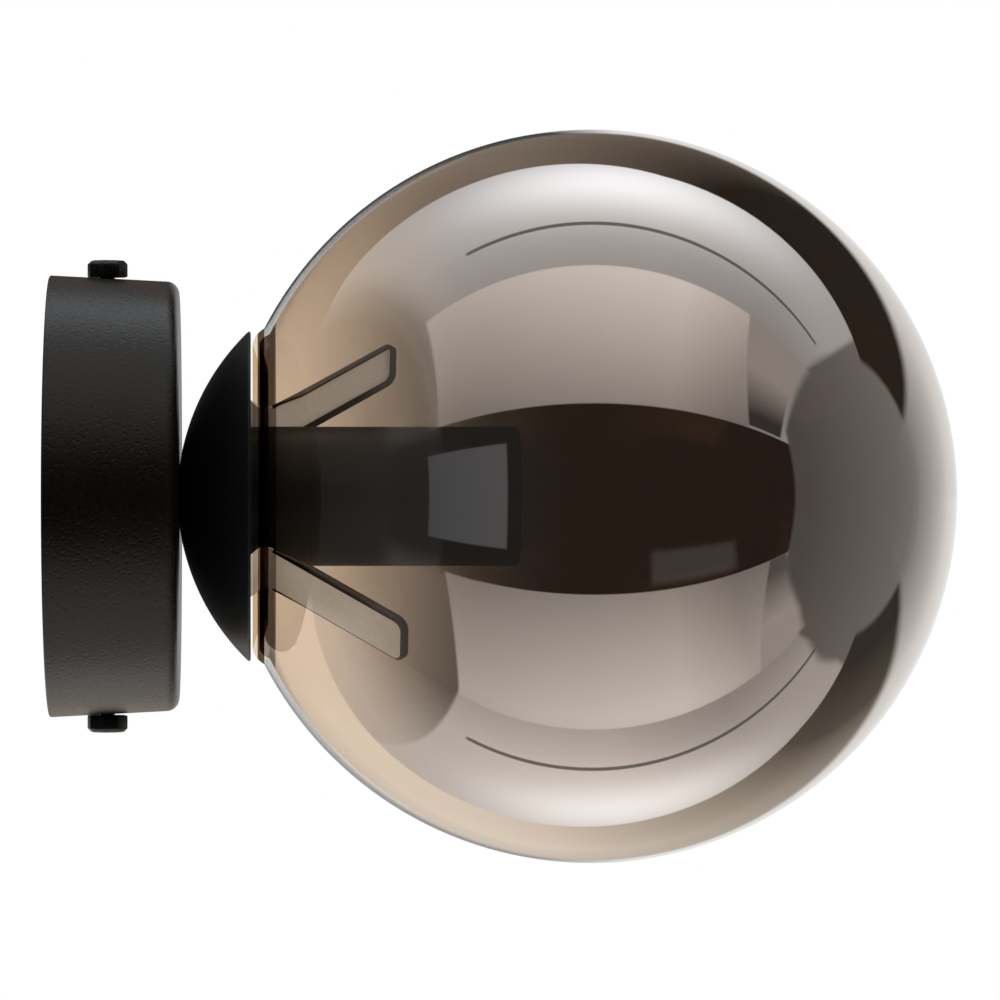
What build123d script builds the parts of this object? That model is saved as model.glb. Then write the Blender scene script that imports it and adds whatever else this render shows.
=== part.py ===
from build123d import *
import math
import os

# Globe wall sconce. Millimetres, +X out of the wall along the fixture's axis, +Z up.
# The origin is the centre of the canopy's wall plane. Angles phi turn about X, from +Z towards -Y.

# --- canopy -----------------------------------------------------------------------------------
canopy_diameter = 120.0  # at the wall
canopy_draft = 1.75  # radius lost from the wall to the front
canopy_depth = 35.0
canopy_wall = 1.5
canopy_edge_radius = 3.5

# --- wall bracket and side screws -------------------------------------------------------------
bracket_thickness = 2.0
bracket_width = 18.0
bracket_leg_gap = 1.8  # leg's outer face to the canopy's inside, on the middle plane
bracket_leg_depth = 23.0
bracket_centre_hole = 11.0
bracket_tip_radius = 4.0
wall_slot_width = 4.6
wall_slot_length = 12.0
wall_slot_spacing = 84.0
side_screw_x = 15.5
side_screw_shank_radius = 2.0
side_screw_reach = 6.0  # beyond the leg's inner face
side_head_across_corners = 11.2
side_head_height = 4.5
side_head_turn = -10.6  # degrees, as the heads stand in the picture
side_head_bevel = 1.0
seat_gap = 0.1  # between a turning head and the canopy under it
running_clearance = 0.08  # radial, a turning shank in its hole
hole_clearance = 0.25  # radial, a fixed piece passing a hole

# --- threaded tube and its nuts ---------------------------------------------------------------
tube_radius = 5.0
tube_bore_radius = 3.6
tube_inner_end = 8.0  # from the canopy's front wall back into the canopy
nut_across_flats = 14.0
thin_nut_height = 4.0
spacer_nut_height = 7.0
toothed_washer_radius = 9.0
toothed_washer_thickness = 1.0
washer_teeth = 12
bush_wall = 0.5
bush_flange = 1.2

# --- shade dish -------------------------------------------------------------------------------
dish_diameter = 91.0
dish_depth = 19.4
dish_radius = 63.05  # of the outside sphere
dish_wall = 1.2
dish_seat_radius = 8.0

# --- spring clips -----------------------------------------------------------------------------
clip_phi = (-54.0, 126.0)
clip_width = 13.5
clip_thickness = 0.6
clip_tail_r = 20.7
# corners of the leaf's outer face, the one towards the glass
clip_foot_r = 27.5
clip_bump_in, clip_bump_under = 1.5, 3.4  # from the fold of the glass lip
clip_notch_out, clip_notch_under = 0.8, 2.9  # from the edge of the glass lip
clip_arm_x, clip_arm_r = 36.1, 34.65  # from the notch to the arm's end
clip_bend_radius = 2.4
clip_end_radius = 3.2
clip_flange_height = 2.2  # edge of the arm turned in, towards the axis
clip_flange_start = 3.0  # from the notch along the arm
clip_flange_taper = 10.0
carrier_thickness = 1.2
carrier_width = 22.0
carrier_length = 52.0
clamp_thickness = 1.0
clamp_length = 5.6  # along the carrier
clamp_width = 17.0
rivet_radius = 1.5
rivet_head_radius = 2.3
rivet_head_height = 0.8

# --- sleeve and lampholder --------------------------------------------------------------------
sleeve_diameter = 38.0
sleeve_wall = 1.2
sleeve_length = 80.9
holder_rim = 2.2
holder_radius = 17.3
holder_bore_radius = 14.4
holder_length = 47.5
holder_back_wall = 3.5
chamber_depth = 12.5
ceramic_radius = 14.1
ceramic_thickness = 5.0  # under the recess that the contacts stand in
recess_radius = 11.0
recess_depth = 4.0
shell_inner_radius = 13.3
shell_wall = 0.4
shell_length = 18.0
contact_offset = 8.5  # terminals and contact screws, from the axis
contact_screw_radius = 1.4
contact_head_radius = 1.9
contact_head_height = 1.2
leaf_width = 5.0
leaf_thickness = 0.5
leaf_rise = 3.2
terminal_size = (5.6, 7.0, 7.4)
terminal_screw_radius = 1.2
terminal_head_radius = 2.1
terminal_head_height = 1.6

# --- leads, terminal block and earth ----------------------------------------------------------
lead_radius = 1.2
lead_spacing = 3.2  # centre to centre in the tube
lead_bend_radius = 3.5
lead_end_clearance = 0.1
block_poles = 3
block_pitch = 9.0
block_size = (12.0, 15.0, 28.0)
block_z = 22.0
block_edge_radius = 1.0
pole_height = 5.4  # above the bracket
pole_hole_radius = 2.0
clamp_radius = 1.9
clamp_bore_radius = 1.35
clamp_tube_length = 12.0
pole_screw_radius = 1.25
pole_screw_spacing = 7.0
pole_screw_recess = 2.0
block_screw_radius = 1.4
block_screw_head_radius = 2.5
block_screw_head_height = 1.6
block_screw_recess = 3.0
earth_screw_z = -20.0
earth_screw_radius = 1.95
earth_head_radius = 3.6
earth_head_height = 2.4
earth_screw_length = 5.6  # under the head
earth_washer_radius = 4.6
earth_washer_thickness = 0.8
ring_radius = 4.2
ring_thickness = 0.8
ring_barrel_radius = 1.8
ring_barrel_length = 6.0

# --- glass globe ------------------------------------------------------------------------------
globe_diameter = 200.0
globe_wall = 2.0
neck_outer_radius = 45.7  # where the ball turns into the rolled lip
neck_stand = 3.65  # the same place, from the plane of the dish's rim
lip_fold_stand, lip_fold_in = 0.5, 4.1  # from the rim's plane and inside the neck
lip_edge_stand, lip_edge_in = 2.8, 11.3

# --- derived positions along the axis ---------------------------------------------------------
tan_draft = canopy_draft / canopy_depth
canopy_inner_front_x = canopy_depth - canopy_wall
washer_x = canopy_inner_front_x - toothed_washer_thickness
canopy_nut_x = washer_x - thin_nut_height
tube_start_x = canopy_inner_front_x - tube_inner_end
dish_inner_x = canopy_depth + dish_wall
carrier_x = dish_inner_x + spacer_nut_height
carrier_top_x = carrier_x + carrier_thickness
sleeve_floor_x = carrier_top_x + sleeve_wall
sleeve_end_x = carrier_top_x + sleeve_length
sleeve_inner_radius = sleeve_diameter / 2 - sleeve_wall
holder_end_x = sleeve_end_x + holder_rim
holder_back_x = holder_end_x - holder_length
chamber_x = holder_back_x + holder_back_wall
ceramic_x = chamber_x + chamber_depth
recess_x = ceramic_x + ceramic_thickness
ceramic_top_x = recess_x + recess_depth
tube_end_x = chamber_x + thin_nut_height
dish_rim_x = canopy_depth + dish_depth
neck_x = dish_rim_x + neck_stand
globe_centre_x = neck_x + math.sqrt((globe_diameter / 2) ** 2 - neck_outer_radius**2)
lip_fold_x, lip_fold_r = dish_rim_x + lip_fold_stand, neck_outer_radius - lip_fold_in
lip_edge_x, lip_edge_r = dish_rim_x + lip_edge_stand, neck_outer_radius - lip_edge_in
clip_bump_x, clip_bump_r = lip_fold_x - clip_bump_in, lip_fold_r - clip_bump_under
clip_notch_x, clip_notch_r = lip_edge_x + clip_notch_out, lip_edge_r - clip_notch_under
clip_end_x, clip_end_r = clip_notch_x + clip_arm_x, clip_notch_r + clip_arm_r
clamp_x = carrier_top_x + clip_thickness
clamp_r = (clip_tail_r + clip_foot_r) / 2 - 0.3
terminal_x = ceramic_x - terminal_size[0]
lead_turn_x = ceramic_x - terminal_size[0] / 2 - 0.3
block_base_x = bracket_thickness
block_front_x = block_base_x + block_size[0]
pole_x = block_base_x + pole_height
pole_z = [block_z + (n - (block_poles - 1) / 2) * block_pitch for n in range(block_poles)]
fixing_z = block_z - block_pitch / 2  # between two poles

os.makedirs("parts", exist_ok=True)


def canopy_radius(x):
    """Outer radius of the canopy's drawn side at a distance from the wall."""
    return canopy_diameter / 2 - tan_draft * x


def across(x):
    """Plane square to the fixture's axis: local x is +Y, local y is +Z, the normal is +X."""
    return Plane.YZ.offset(x)


def spoke(phi):
    """Plane through the axis at phi: local x is +X, local y points outwards."""
    out = (0, -math.sin(math.radians(phi)), math.cos(math.radians(phi)))
    return Plane(origin=(0, 0, 0), x_dir=(1, 0, 0), z_dir=(0, -out[2], out[1]))


def spoke_point(phi, x, r):
    return (x, -r * math.sin(math.radians(phi)), r * math.cos(math.radians(phi)))


def finish(part, label):
    part.label = label
    export_step(part, f"parts/{label}.step")


def hex_nut(x, height, label):
    """Hexagonal nut on the threaded tube, both faces bevelled."""
    with BuildPart() as nut:
        with BuildSketch(across(x)):
            RegularPolygon(nut_across_flats / 2, 6, major_radius=False)
            Circle(tube_radius, mode=Mode.SUBTRACT)
        extrude(amount=height)
        with BuildSketch(Plane.XZ):
            corner = nut_across_flats / 2 / math.cos(math.pi / 6)
            bevel = corner - nut_across_flats / 2
            with BuildLine():
                Polyline(
                    (x, 0),
                    (x, corner - bevel),
                    (x + bevel / 2, corner),
                    (x + height - bevel / 2, corner),
                    (x + height, corner - bevel),
                    (x + height, 0),
                    close=True,
                )
            make_face()
        revolve(axis=Axis.X, mode=Mode.INTERSECT)
    finish(nut.part, label)


def wire(points, radii, radius, plane=Plane.XY):
    """Round wire of one radius along straight runs with tangent bends."""
    with BuildPart() as rod:
        with BuildLine(plane) as path:
            FilletPolyline(*points, radius=radii)
        run = path.wire()
        with BuildSketch(Plane(origin=run @ 0, z_dir=run % 0)):
            Circle(radius)
        sweep(path=run)
    length = run.length
    assert abs(rod.part.volume / (math.pi * radius**2 * length) - 1) < 0.01
    print(f"wire length {length:.1f} mm")
    return rod.part


# --- canopy -----------------------------------------------------------------------------------
with BuildPart() as canopy:
    with BuildSketch(Plane.XZ):
        with BuildLine():
            Polyline(
                (0, canopy_radius(0)),
                (canopy_depth, canopy_radius(canopy_depth)),
                (canopy_depth, tube_radius + hole_clearance),
                (canopy_inner_front_x, tube_radius + hole_clearance),
                (canopy_inner_front_x, canopy_radius(canopy_inner_front_x) - canopy_wall),
                (0, canopy_radius(0) - canopy_wall),
                close=True,
            )
        make_face()
        inner_corner_r = canopy_radius(canopy_inner_front_x) - canopy_wall
        inner_corner = vertices().sort_by_distance((canopy_inner_front_x, inner_corner_r))[0]
        fillet(inner_corner, canopy_edge_radius - canopy_wall)
        outer_corner = vertices().sort_by_distance((canopy_depth, canopy_radius(canopy_depth)))[0]
        fillet(outer_corner, canopy_edge_radius)
    revolve(axis=Axis.X)
    with BuildSketch(Plane.XY):
        with Locations((side_screw_x, 0)):
            Circle(side_screw_shank_radius + hole_clearance)
    extrude(amount=canopy_diameter, both=True, mode=Mode.SUBTRACT)
finish(canopy.part, "canopy")

# --- wall bracket -----------------------------------------------------------------------------
leg_outer_z = canopy_radius(bracket_leg_depth) - canopy_wall - bracket_leg_gap
leg_inner_z = leg_outer_z - bracket_thickness
with BuildPart() as bracket:
    with BuildSketch(Plane.XZ):
        with BuildLine():
            Polyline(
                (0, -leg_outer_z),
                (bracket_leg_depth, -leg_outer_z),
                (bracket_leg_depth, -leg_inner_z),
                (bracket_thickness, -leg_inner_z),
                (bracket_thickness, leg_inner_z),
                (bracket_leg_depth, leg_inner_z),
                (bracket_leg_depth, leg_outer_z),
                (0, leg_outer_z),
                close=True,
            )
        make_face()
    extrude(amount=bracket_width / 2, both=True)
    bends = edges().filter_by(Axis.Y)
    fillet(bends.group_by(Axis.X)[0], 2 * bracket_thickness)
    folds = edges().filter_by(Axis.Y).filter_by(
        lambda e: abs(e.center().X - bracket_thickness) < 0.01
        and abs(abs(e.center().Z) - leg_inner_z) < 0.01
    )
    fillet(folds, bracket_thickness)
    tips = edges().filter_by(Axis.Z).filter_by(lambda e: e.center().X > bracket_leg_depth - 0.01)
    fillet(tips, bracket_tip_radius)
    with BuildSketch(across(0)):
        Circle(bracket_centre_hole / 2)
        with GridLocations(0, wall_slot_spacing, 1, 2):
            SlotOverall(wall_slot_length, wall_slot_width, rotation=90)
        with Locations((0, earth_screw_z)):
            Circle(earth_screw_radius + 0.05)
        with Locations((0, fixing_z)):
            Circle(block_screw_radius + 0.05)
    extrude(amount=bracket_thickness, mode=Mode.SUBTRACT)
    with BuildSketch(Plane.XY):
        with Locations((side_screw_x, 0)):
            Circle(side_screw_shank_radius + running_clearance)
    extrude(amount=canopy_diameter, both=True, mode=Mode.SUBTRACT)
finish(bracket.part, "wall_bracket")

# --- side screws ------------------------------------------------------------------------------
head_z = canopy_radius(side_screw_x - side_head_across_corners / 2) + seat_gap
for label, side in (("side_screw_top", 1), ("side_screw_bottom", -1)):
    with BuildPart() as screw:
        with BuildSketch(Plane.XY.offset(side * head_z)):
            with Locations((side_screw_x, 0)):
                RegularPolygon(side_head_across_corners / 2, 8, rotation=side_head_turn)
        extrude(amount=side * side_head_height)
        crown = faces().sort_by(Axis.Z)[-1 if side > 0 else 0]
        chamfer(crown.edges(), side_head_bevel)
        with BuildSketch(Plane.XY.offset(side * (leg_inner_z - side_screw_reach))):
            with Locations((side_screw_x, 0)):
                Circle(side_screw_shank_radius)
        extrude(amount=side * (head_z - leg_inner_z + side_screw_reach))
        tip = faces().sort_by(Axis.Z)[0 if side > 0 else -1]
        chamfer(tip.edges(), 0.4)
    finish(screw.part, label)

# --- threaded tube, nuts and washer -----------------------------------------------------------
with BuildPart() as tube:
    with BuildSketch(across(tube_start_x)):
        Circle(tube_radius)
        Circle(tube_bore_radius, mode=Mode.SUBTRACT)
    extrude(amount=tube_end_x - tube_start_x)
    ends = edges().filter_by(GeomType.CIRCLE).filter_by(lambda e: e.radius > tube_radius - 0.01)
    chamfer(ends, 0.5)
finish(tube.part, "threaded_tube")

hex_nut(canopy_nut_x, thin_nut_height, "canopy_lock_nut")
hex_nut(dish_inner_x, spacer_nut_height, "dish_lock_nut")
hex_nut(sleeve_floor_x, thin_nut_height, "sleeve_lock_nut")
hex_nut(chamber_x, thin_nut_height - 0.5, "holder_lock_nut")

with BuildPart() as washer:
    with BuildSketch(across(washer_x)):
        Circle(toothed_washer_radius - 1.2)
        with PolarLocations(toothed_washer_radius - 1.3, washer_teeth):
            Rectangle(2.6, 1.6)
        Circle(tube_radius + hole_clearance, mode=Mode.SUBTRACT)
    extrude(amount=toothed_washer_thickness)
finish(washer.part, "toothed_washer")

# one bush in each end of the tube, flange outside
with BuildPart() as bushes:
    for x, way in ((tube_start_x, -1), (tube_end_x, 1)):
        bore = tube_bore_radius - bush_wall
        with BuildSketch(across(x)):
            Circle(tube_radius - 0.4)
            Circle(bore, mode=Mode.SUBTRACT)
        extrude(amount=way * bush_flange)
        with BuildSketch(across(x)):
            Circle(tube_bore_radius)
            Circle(bore, mode=Mode.SUBTRACT)
        extrude(amount=-way * 4.0)
finish(bushes.part, "tube_end_bushes")

# --- shade dish -------------------------------------------------------------------------------
# the outside sphere runs through the rim, and meets the flat seat that touches the canopy
dish_centre_x = dish_rim_x + math.sqrt(dish_radius**2 - (dish_diameter / 2) ** 2)
with BuildPart() as dish:
    with BuildSketch(Plane.XZ):
        inner = dish_radius - dish_wall
        inner_rim_r = math.sqrt(inner**2 - (dish_centre_x - dish_rim_x) ** 2)
        with BuildLine():
            Line((canopy_depth, tube_radius + hole_clearance), (canopy_depth, dish_seat_radius))
            RadiusArc(
                (canopy_depth, dish_seat_radius), (dish_rim_x, dish_diameter / 2), dish_radius
            )
            Line((dish_rim_x, dish_diameter / 2), (dish_rim_x, inner_rim_r))
            RadiusArc((dish_rim_x, inner_rim_r), (dish_inner_x, dish_seat_radius), -inner)
            Line((dish_inner_x, dish_seat_radius), (dish_inner_x, tube_radius + hole_clearance))
            Line(
                (dish_inner_x, tube_radius + hole_clearance),
                (canopy_depth, tube_radius + hole_clearance),
            )
        make_face()
        fillet(vertices().sort_by(Axis.X)[-2:], dish_wall * 0.4)
    revolve(axis=Axis.X)
finish(dish.part, "shade_dish")

# --- clip carrier, clamps, rivets and clips ---------------------------------------------------
carrier_plane = Plane(
    origin=(carrier_x, 0, 0), x_dir=spoke_point(clip_phi[0], 0, 1), z_dir=(1, 0, 0)
)
with BuildPart() as carrier:
    with BuildSketch(carrier_plane):
        Circle(carrier_length / 2)
        Rectangle(carrier_length, carrier_width, mode=Mode.INTERSECT)
        Circle(tube_radius + hole_clearance, mode=Mode.SUBTRACT)
        with GridLocations(2 * clamp_r, 0, 2, 1):
            Circle(rivet_radius, mode=Mode.SUBTRACT)
    extrude(amount=carrier_thickness)
finish(carrier.part, "clip_carrier")

clamp_plane = carrier_plane.offset(clamp_x - carrier_x)
with BuildPart() as clamps:
    with BuildSketch(clamp_plane):
        with GridLocations(2 * clamp_r, 0, 2, 1):
            RectangleRounded(clamp_length, clamp_width, 1.5)
            Circle(rivet_radius, mode=Mode.SUBTRACT)
    extrude(amount=clamp_thickness)
finish(clamps.part, "clip_clamp_plates")

with BuildPart() as rivets:
    for start, amount, radius in (
        (-rivet_head_height, rivet_head_height, rivet_head_radius),
        (0, clamp_x + clamp_thickness - carrier_x, rivet_radius),
        (clamp_x + clamp_thickness - carrier_x, rivet_head_height, rivet_head_radius),
    ):
        with BuildSketch(carrier_plane.offset(start)):
            with GridLocations(2 * clamp_r, 0, 2, 1):
                Circle(radius)
        extrude(amount=amount)
    caps = faces().filter_by(Axis.X)
    chamfer((caps.sort_by(Axis.X)[-2:] + caps.sort_by(Axis.X)[:2]).edges(), 0.4)
finish(rivets.part, "clip_rivets")

# pressed leaf, drawn as (x, r) with its width along z: foot on the carrier, bump behind the lip,
# notch under the lip's edge, then an arm with its edges turned in
arm_run = Vector(clip_end_x - clip_notch_x, clip_end_r - clip_notch_r, 0)
arm_length = arm_run.length
arm_plane = Plane(
    origin=(clip_notch_x, clip_notch_r, 0), x_dir=arm_run, z_dir=(arm_run.Y, -arm_run.X, 0)
)
with BuildPart() as leaf:
    with BuildSketch():
        with BuildLine():
            FilletPolyline(
                (carrier_top_x, clip_tail_r),
                (carrier_top_x, clip_foot_r),
                (clip_bump_x, clip_bump_r),
                (clip_notch_x, clip_notch_r),
                (clip_end_x, clip_end_r),
                radius=clip_bend_radius,
            )
            offset(amount=clip_thickness, side=Side.RIGHT)
        make_face()
    extrude(amount=clip_width / 2, both=True)
    end_corners = edges().filter_by(Axis((0, 0, 0), arm_plane.z_dir))
    fillet(end_corners.sort_by(Axis((0, 0, 0), arm_plane.x_dir))[-2:], clip_end_radius)
    with BuildSketch(arm_plane):
        for inset, mode in ((0, Mode.ADD), (clip_thickness, Mode.SUBTRACT)):
            with Locations((arm_length - inset, 0)):
                RectangleRounded(
                    arm_length, clip_width - 2 * inset, clip_end_radius - inset,
                    align=(Align.MAX, Align.CENTER), mode=mode,
                )
        with Locations((clip_flange_start, 0)):
            Rectangle(arm_length, clip_width, align=(Align.MIN, Align.CENTER), mode=Mode.INTERSECT)
    extrude(amount=clip_flange_height)
    with BuildSketch(Plane(origin=arm_plane.origin, x_dir=arm_run, z_dir=(0, 0, 1))):
        with BuildLine():
            Polyline(
                (clip_flange_start - 1, -clip_thickness),
                (clip_flange_start, -clip_thickness),
                (clip_flange_start + clip_flange_taper, -clip_flange_height),
                (clip_flange_start + clip_flange_taper, -clip_flange_height - 1),
                (clip_flange_start - 1, -clip_flange_height - 1),
                close=True,
            )
        make_face()
    extrude(amount=clip_width, both=True, mode=Mode.SUBTRACT)
    with Locations(Location((clamp_x, clamp_r, 0), (0, 90, 0))):
        Cylinder(rivet_radius, 6 * clip_thickness, mode=Mode.SUBTRACT)
for label, phi in zip(("globe_clip_upper", "globe_clip_lower"), clip_phi):
    finish(spoke(phi).location * leaf.part, label)

# --- lampholder sleeve ------------------------------------------------------------------------
with BuildPart() as sleeve:
    with BuildSketch(across(carrier_top_x)):
        Circle(sleeve_diameter / 2)
    extrude(amount=sleeve_end_x - carrier_top_x)
    fillet(edges().group_by(Axis.X)[0], 1.0)
    with BuildSketch(across(sleeve_floor_x)):
        Circle(sleeve_inner_radius)
    extrude(amount=sleeve_end_x - sleeve_floor_x, mode=Mode.SUBTRACT)
    with BuildSketch(across(carrier_top_x)):
        Circle(tube_radius + hole_clearance)
    extrude(amount=sleeve_wall, mode=Mode.SUBTRACT)
finish(sleeve.part, "lampholder_sleeve")

# --- holder body, whose rim closes the sleeve -------------------------------------------------
with BuildPart() as holder:
    with BuildSketch(across(holder_back_x)):
        Circle(holder_radius)
    extrude(amount=holder_end_x - holder_back_x)
    with BuildSketch(across(sleeve_end_x)):
        Circle(sleeve_diameter / 2)
    extrude(amount=holder_rim)
    rim = faces().sort_by(Axis.X)[-1]
    fillet(rim.edges(), 0.7)
    with BuildSketch(across(chamber_x)):
        Circle(holder_bore_radius)
    extrude(amount=holder_end_x - chamber_x, mode=Mode.SUBTRACT)
    with BuildSketch(across(holder_back_x)):
        Circle(tube_radius)
    extrude(amount=holder_back_wall, mode=Mode.SUBTRACT)
    chamfer(faces().sort_by(Axis.X)[-1].edges().sort_by(SortBy.RADIUS)[0], 0.5)
    # ledge that the ceramic base rests on
    with BuildSketch(across(ceramic_x - 2.0)):
        Circle(holder_bore_radius)
        Circle(ceramic_radius - 1.2, mode=Mode.SUBTRACT)
    extrude(amount=2.0)
finish(holder.part, "holder_body")

# --- ceramic base, shell, contacts and terminals ----------------------------------------------
with BuildPart() as ceramic:
    with BuildSketch(across(ceramic_x)):
        Circle(ceramic_radius)
        with GridLocations(0, 2 * contact_offset, 1, 2):
            Circle(contact_screw_radius, mode=Mode.SUBTRACT)
    extrude(amount=ceramic_thickness)
    with BuildSketch(across(recess_x)):
        Circle(ceramic_radius)
        Circle(recess_radius, mode=Mode.SUBTRACT)
    extrude(amount=recess_depth)
    rims = edges().filter_by(GeomType.CIRCLE)
    chamfer(rims.filter_by(lambda e: e.radius > ceramic_radius - 0.01), 0.3)
finish(ceramic.part, "contact_base")

# the shell's base ring lies on the ceramic's collar, and its tab goes down to the lower screw
with BuildPart() as shell:
    outer = shell_inner_radius + shell_wall
    tab_r = recess_radius - shell_wall
    with BuildSketch(across(ceramic_top_x)):
        Circle(outer)
        Circle(tab_r, mode=Mode.SUBTRACT)
    extrude(amount=shell_wall)
    with BuildSketch(across(ceramic_top_x + shell_wall)):
        Circle(outer)
        Circle(shell_inner_radius, mode=Mode.SUBTRACT)
    extrude(amount=shell_length - shell_wall)
    with BuildSketch(across(recess_x)):
        with BuildLine():
            Polyline(
                (-leaf_width / 2, -contact_offset + 2.4),
                (leaf_width / 2, -contact_offset + 2.4),
                (leaf_width / 2, -tab_r + 0.6),
                (-leaf_width / 2, -tab_r + 0.6),
                close=True,
            )
        make_face()
        with Locations((0, -tab_r + 0.4)):
            Rectangle(leaf_width, 0.8)
        with Locations((0, -contact_offset)):
            Circle(contact_screw_radius, mode=Mode.SUBTRACT)
    extrude(amount=shell_wall)
    with BuildSketch(across(recess_x)):
        Circle(recess_radius - 0.02)
        Circle(tab_r, mode=Mode.SUBTRACT)
        with Locations((0, -recess_radius)):
            Rectangle(leaf_width, 4.0, mode=Mode.INTERSECT)
    extrude(amount=recess_depth + shell_wall)
finish(shell.part, "screw_shell")

# leaf spring, held by the upper contact screw, its free end on the axis
with BuildPart() as leaf:
    with BuildSketch(Plane.XZ):
        with BuildLine():
            Polyline(
                (recess_x, contact_offset + 2.0),
                (recess_x, contact_offset - 3.0),
                (recess_x + leaf_rise, 1.5),
                (recess_x + leaf_rise, -2.0),
                (recess_x + leaf_rise + leaf_thickness, -2.0),
                (recess_x + leaf_rise + leaf_thickness, 1.5 + leaf_thickness / 3),
                (recess_x + leaf_thickness, contact_offset - 3.0 + leaf_thickness / 3),
                (recess_x + leaf_thickness, contact_offset + 2.0),
                close=True,
            )
        make_face()
    extrude(amount=leaf_width / 2, both=True)
    with BuildSketch(across(recess_x)):
        with Locations((0, contact_offset)):
            Circle(contact_screw_radius)
    extrude(amount=leaf_thickness, mode=Mode.SUBTRACT)
finish(leaf.part, "centre_contact")

with BuildPart() as terminals:
    with BuildSketch(across(terminal_x)):
        with GridLocations(0, 2 * contact_offset, 1, 2):
            RectangleRounded(terminal_size[1], terminal_size[2], 0.8)
    extrude(amount=terminal_size[0])
    with BuildSketch(across(terminal_x)):
        with GridLocations(0, 2 * contact_offset, 1, 2):
            Circle(terminal_screw_radius)
    extrude(amount=lead_turn_x - terminal_x, mode=Mode.SUBTRACT)
    with BuildSketch(across(ceramic_x)):
        with GridLocations(0, 2 * contact_offset, 1, 2):
            Circle(contact_screw_radius)
    extrude(amount=-1.2, mode=Mode.SUBTRACT)
    with BuildSketch(Plane.XY):
        with Locations((lead_turn_x, 0)):
            Circle(lead_radius + lead_end_clearance)
    extrude(amount=contact_offset + 1.5, both=True, mode=Mode.SUBTRACT)
finish(terminals.part, "holder_terminals")

with BuildPart() as terminal_screws:
    tip_x = lead_turn_x - lead_radius - lead_end_clearance
    with BuildSketch(across(tip_x)):
        with GridLocations(0, 2 * contact_offset, 1, 2):
            Circle(terminal_screw_radius)
    extrude(amount=terminal_x - tip_x)
    with BuildSketch(across(terminal_x - terminal_head_height)):
        with GridLocations(0, 2 * contact_offset, 1, 2):
            Circle(terminal_head_radius)
    extrude(amount=terminal_head_height)
    with BuildSketch(across(terminal_x - terminal_head_height)):
        with GridLocations(0, 2 * contact_offset, 1, 2):
            Rectangle(2 * terminal_head_radius, 0.6)
    extrude(amount=0.7, mode=Mode.SUBTRACT)
finish(terminal_screws.part, "holder_terminal_screws")

# the upper one clamps the leaf, the lower one the shell's tab
with BuildPart() as contact_screws:
    for side, under in ((1, leaf_thickness), (-1, shell_wall)):
        with BuildSketch(across(ceramic_x - 1.2)):
            with Locations((0, side * contact_offset)):
                Circle(contact_screw_radius)
        extrude(amount=1.2 + ceramic_thickness + under)
        with BuildSketch(across(recess_x + under)):
            with Locations((0, side * contact_offset)):
                Circle(contact_head_radius)
        extrude(amount=contact_head_height)
        with BuildSketch(across(recess_x + under + contact_head_height)):
            with Locations((0, side * contact_offset)):
                Rectangle(2 * contact_head_radius, 0.6)
        extrude(amount=-0.6, mode=Mode.SUBTRACT)
finish(contact_screws.part, "contact_screws")

# --- terminal block ---------------------------------------------------------------------------
with BuildPart() as block:
    with BuildSketch(across(block_base_x)):
        with Locations((0, block_z)):
            RectangleRounded(block_size[1], block_size[2], block_edge_radius)
    extrude(amount=block_size[0])
    chamfer(faces().sort_by(Axis.X)[-1].edges(), 0.6)
    with BuildSketch(Plane.XZ):
        for z in pole_z:
            with Locations((pole_x, z)):
                Circle(pole_hole_radius)
    extrude(amount=block_size[1], both=True, mode=Mode.SUBTRACT)
    with BuildSketch(across(pole_x)):
        for z in pole_z:
            with Locations((0, z)):
                with GridLocations(pole_screw_spacing, 0, 2, 1):
                    Circle(pole_screw_radius + 0.5)
    extrude(amount=block_size[0], mode=Mode.SUBTRACT)
    with BuildSketch(across(block_base_x)):
        with Locations((0, fixing_z)):
            Circle(block_screw_radius + 0.1)
    extrude(amount=block_size[0], mode=Mode.SUBTRACT)
    with BuildSketch(across(block_front_x)):
        with Locations((0, fixing_z)):
            Circle(block_screw_head_radius + 0.3)
    extrude(amount=-block_screw_recess, mode=Mode.SUBTRACT)
finish(block.part, "terminal_block")

with BuildPart() as pole_clamps:
    for z in pole_z:
        with BuildSketch(Plane.XZ):
            with Locations((pole_x, z)):
                Circle(clamp_radius)
                Circle(clamp_bore_radius, mode=Mode.SUBTRACT)
        extrude(amount=clamp_tube_length / 2, both=True)
    with BuildSketch(across(pole_x)):
        for z in pole_z:
            with Locations((0, z)):
                with GridLocations(pole_screw_spacing, 0, 2, 1):
                    Circle(pole_screw_radius)
    extrude(amount=2 * clamp_radius, mode=Mode.SUBTRACT)
finish(pole_clamps.part, "terminal_block_clamps")

pole_screw_tip_x = pole_x + lead_radius + lead_end_clearance
pole_screw_top_x = block_front_x - pole_screw_recess
with BuildPart() as pole_screws:
    for start, end, mode in (
        (pole_screw_tip_x, pole_screw_top_x, Mode.ADD),
        (pole_screw_top_x - 0.8, pole_screw_top_x, Mode.SUBTRACT),
    ):
        with BuildSketch(across(start)):
            for z in pole_z:
                with Locations((0, z)):
                    with GridLocations(pole_screw_spacing, 0, 2, 1):
                        if mode == Mode.ADD:
                            Circle(pole_screw_radius)
                        else:
                            Rectangle(3 * pole_screw_radius, 0.5)
        extrude(amount=end - start, mode=mode)
finish(pole_screws.part, "terminal_block_screws")

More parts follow.
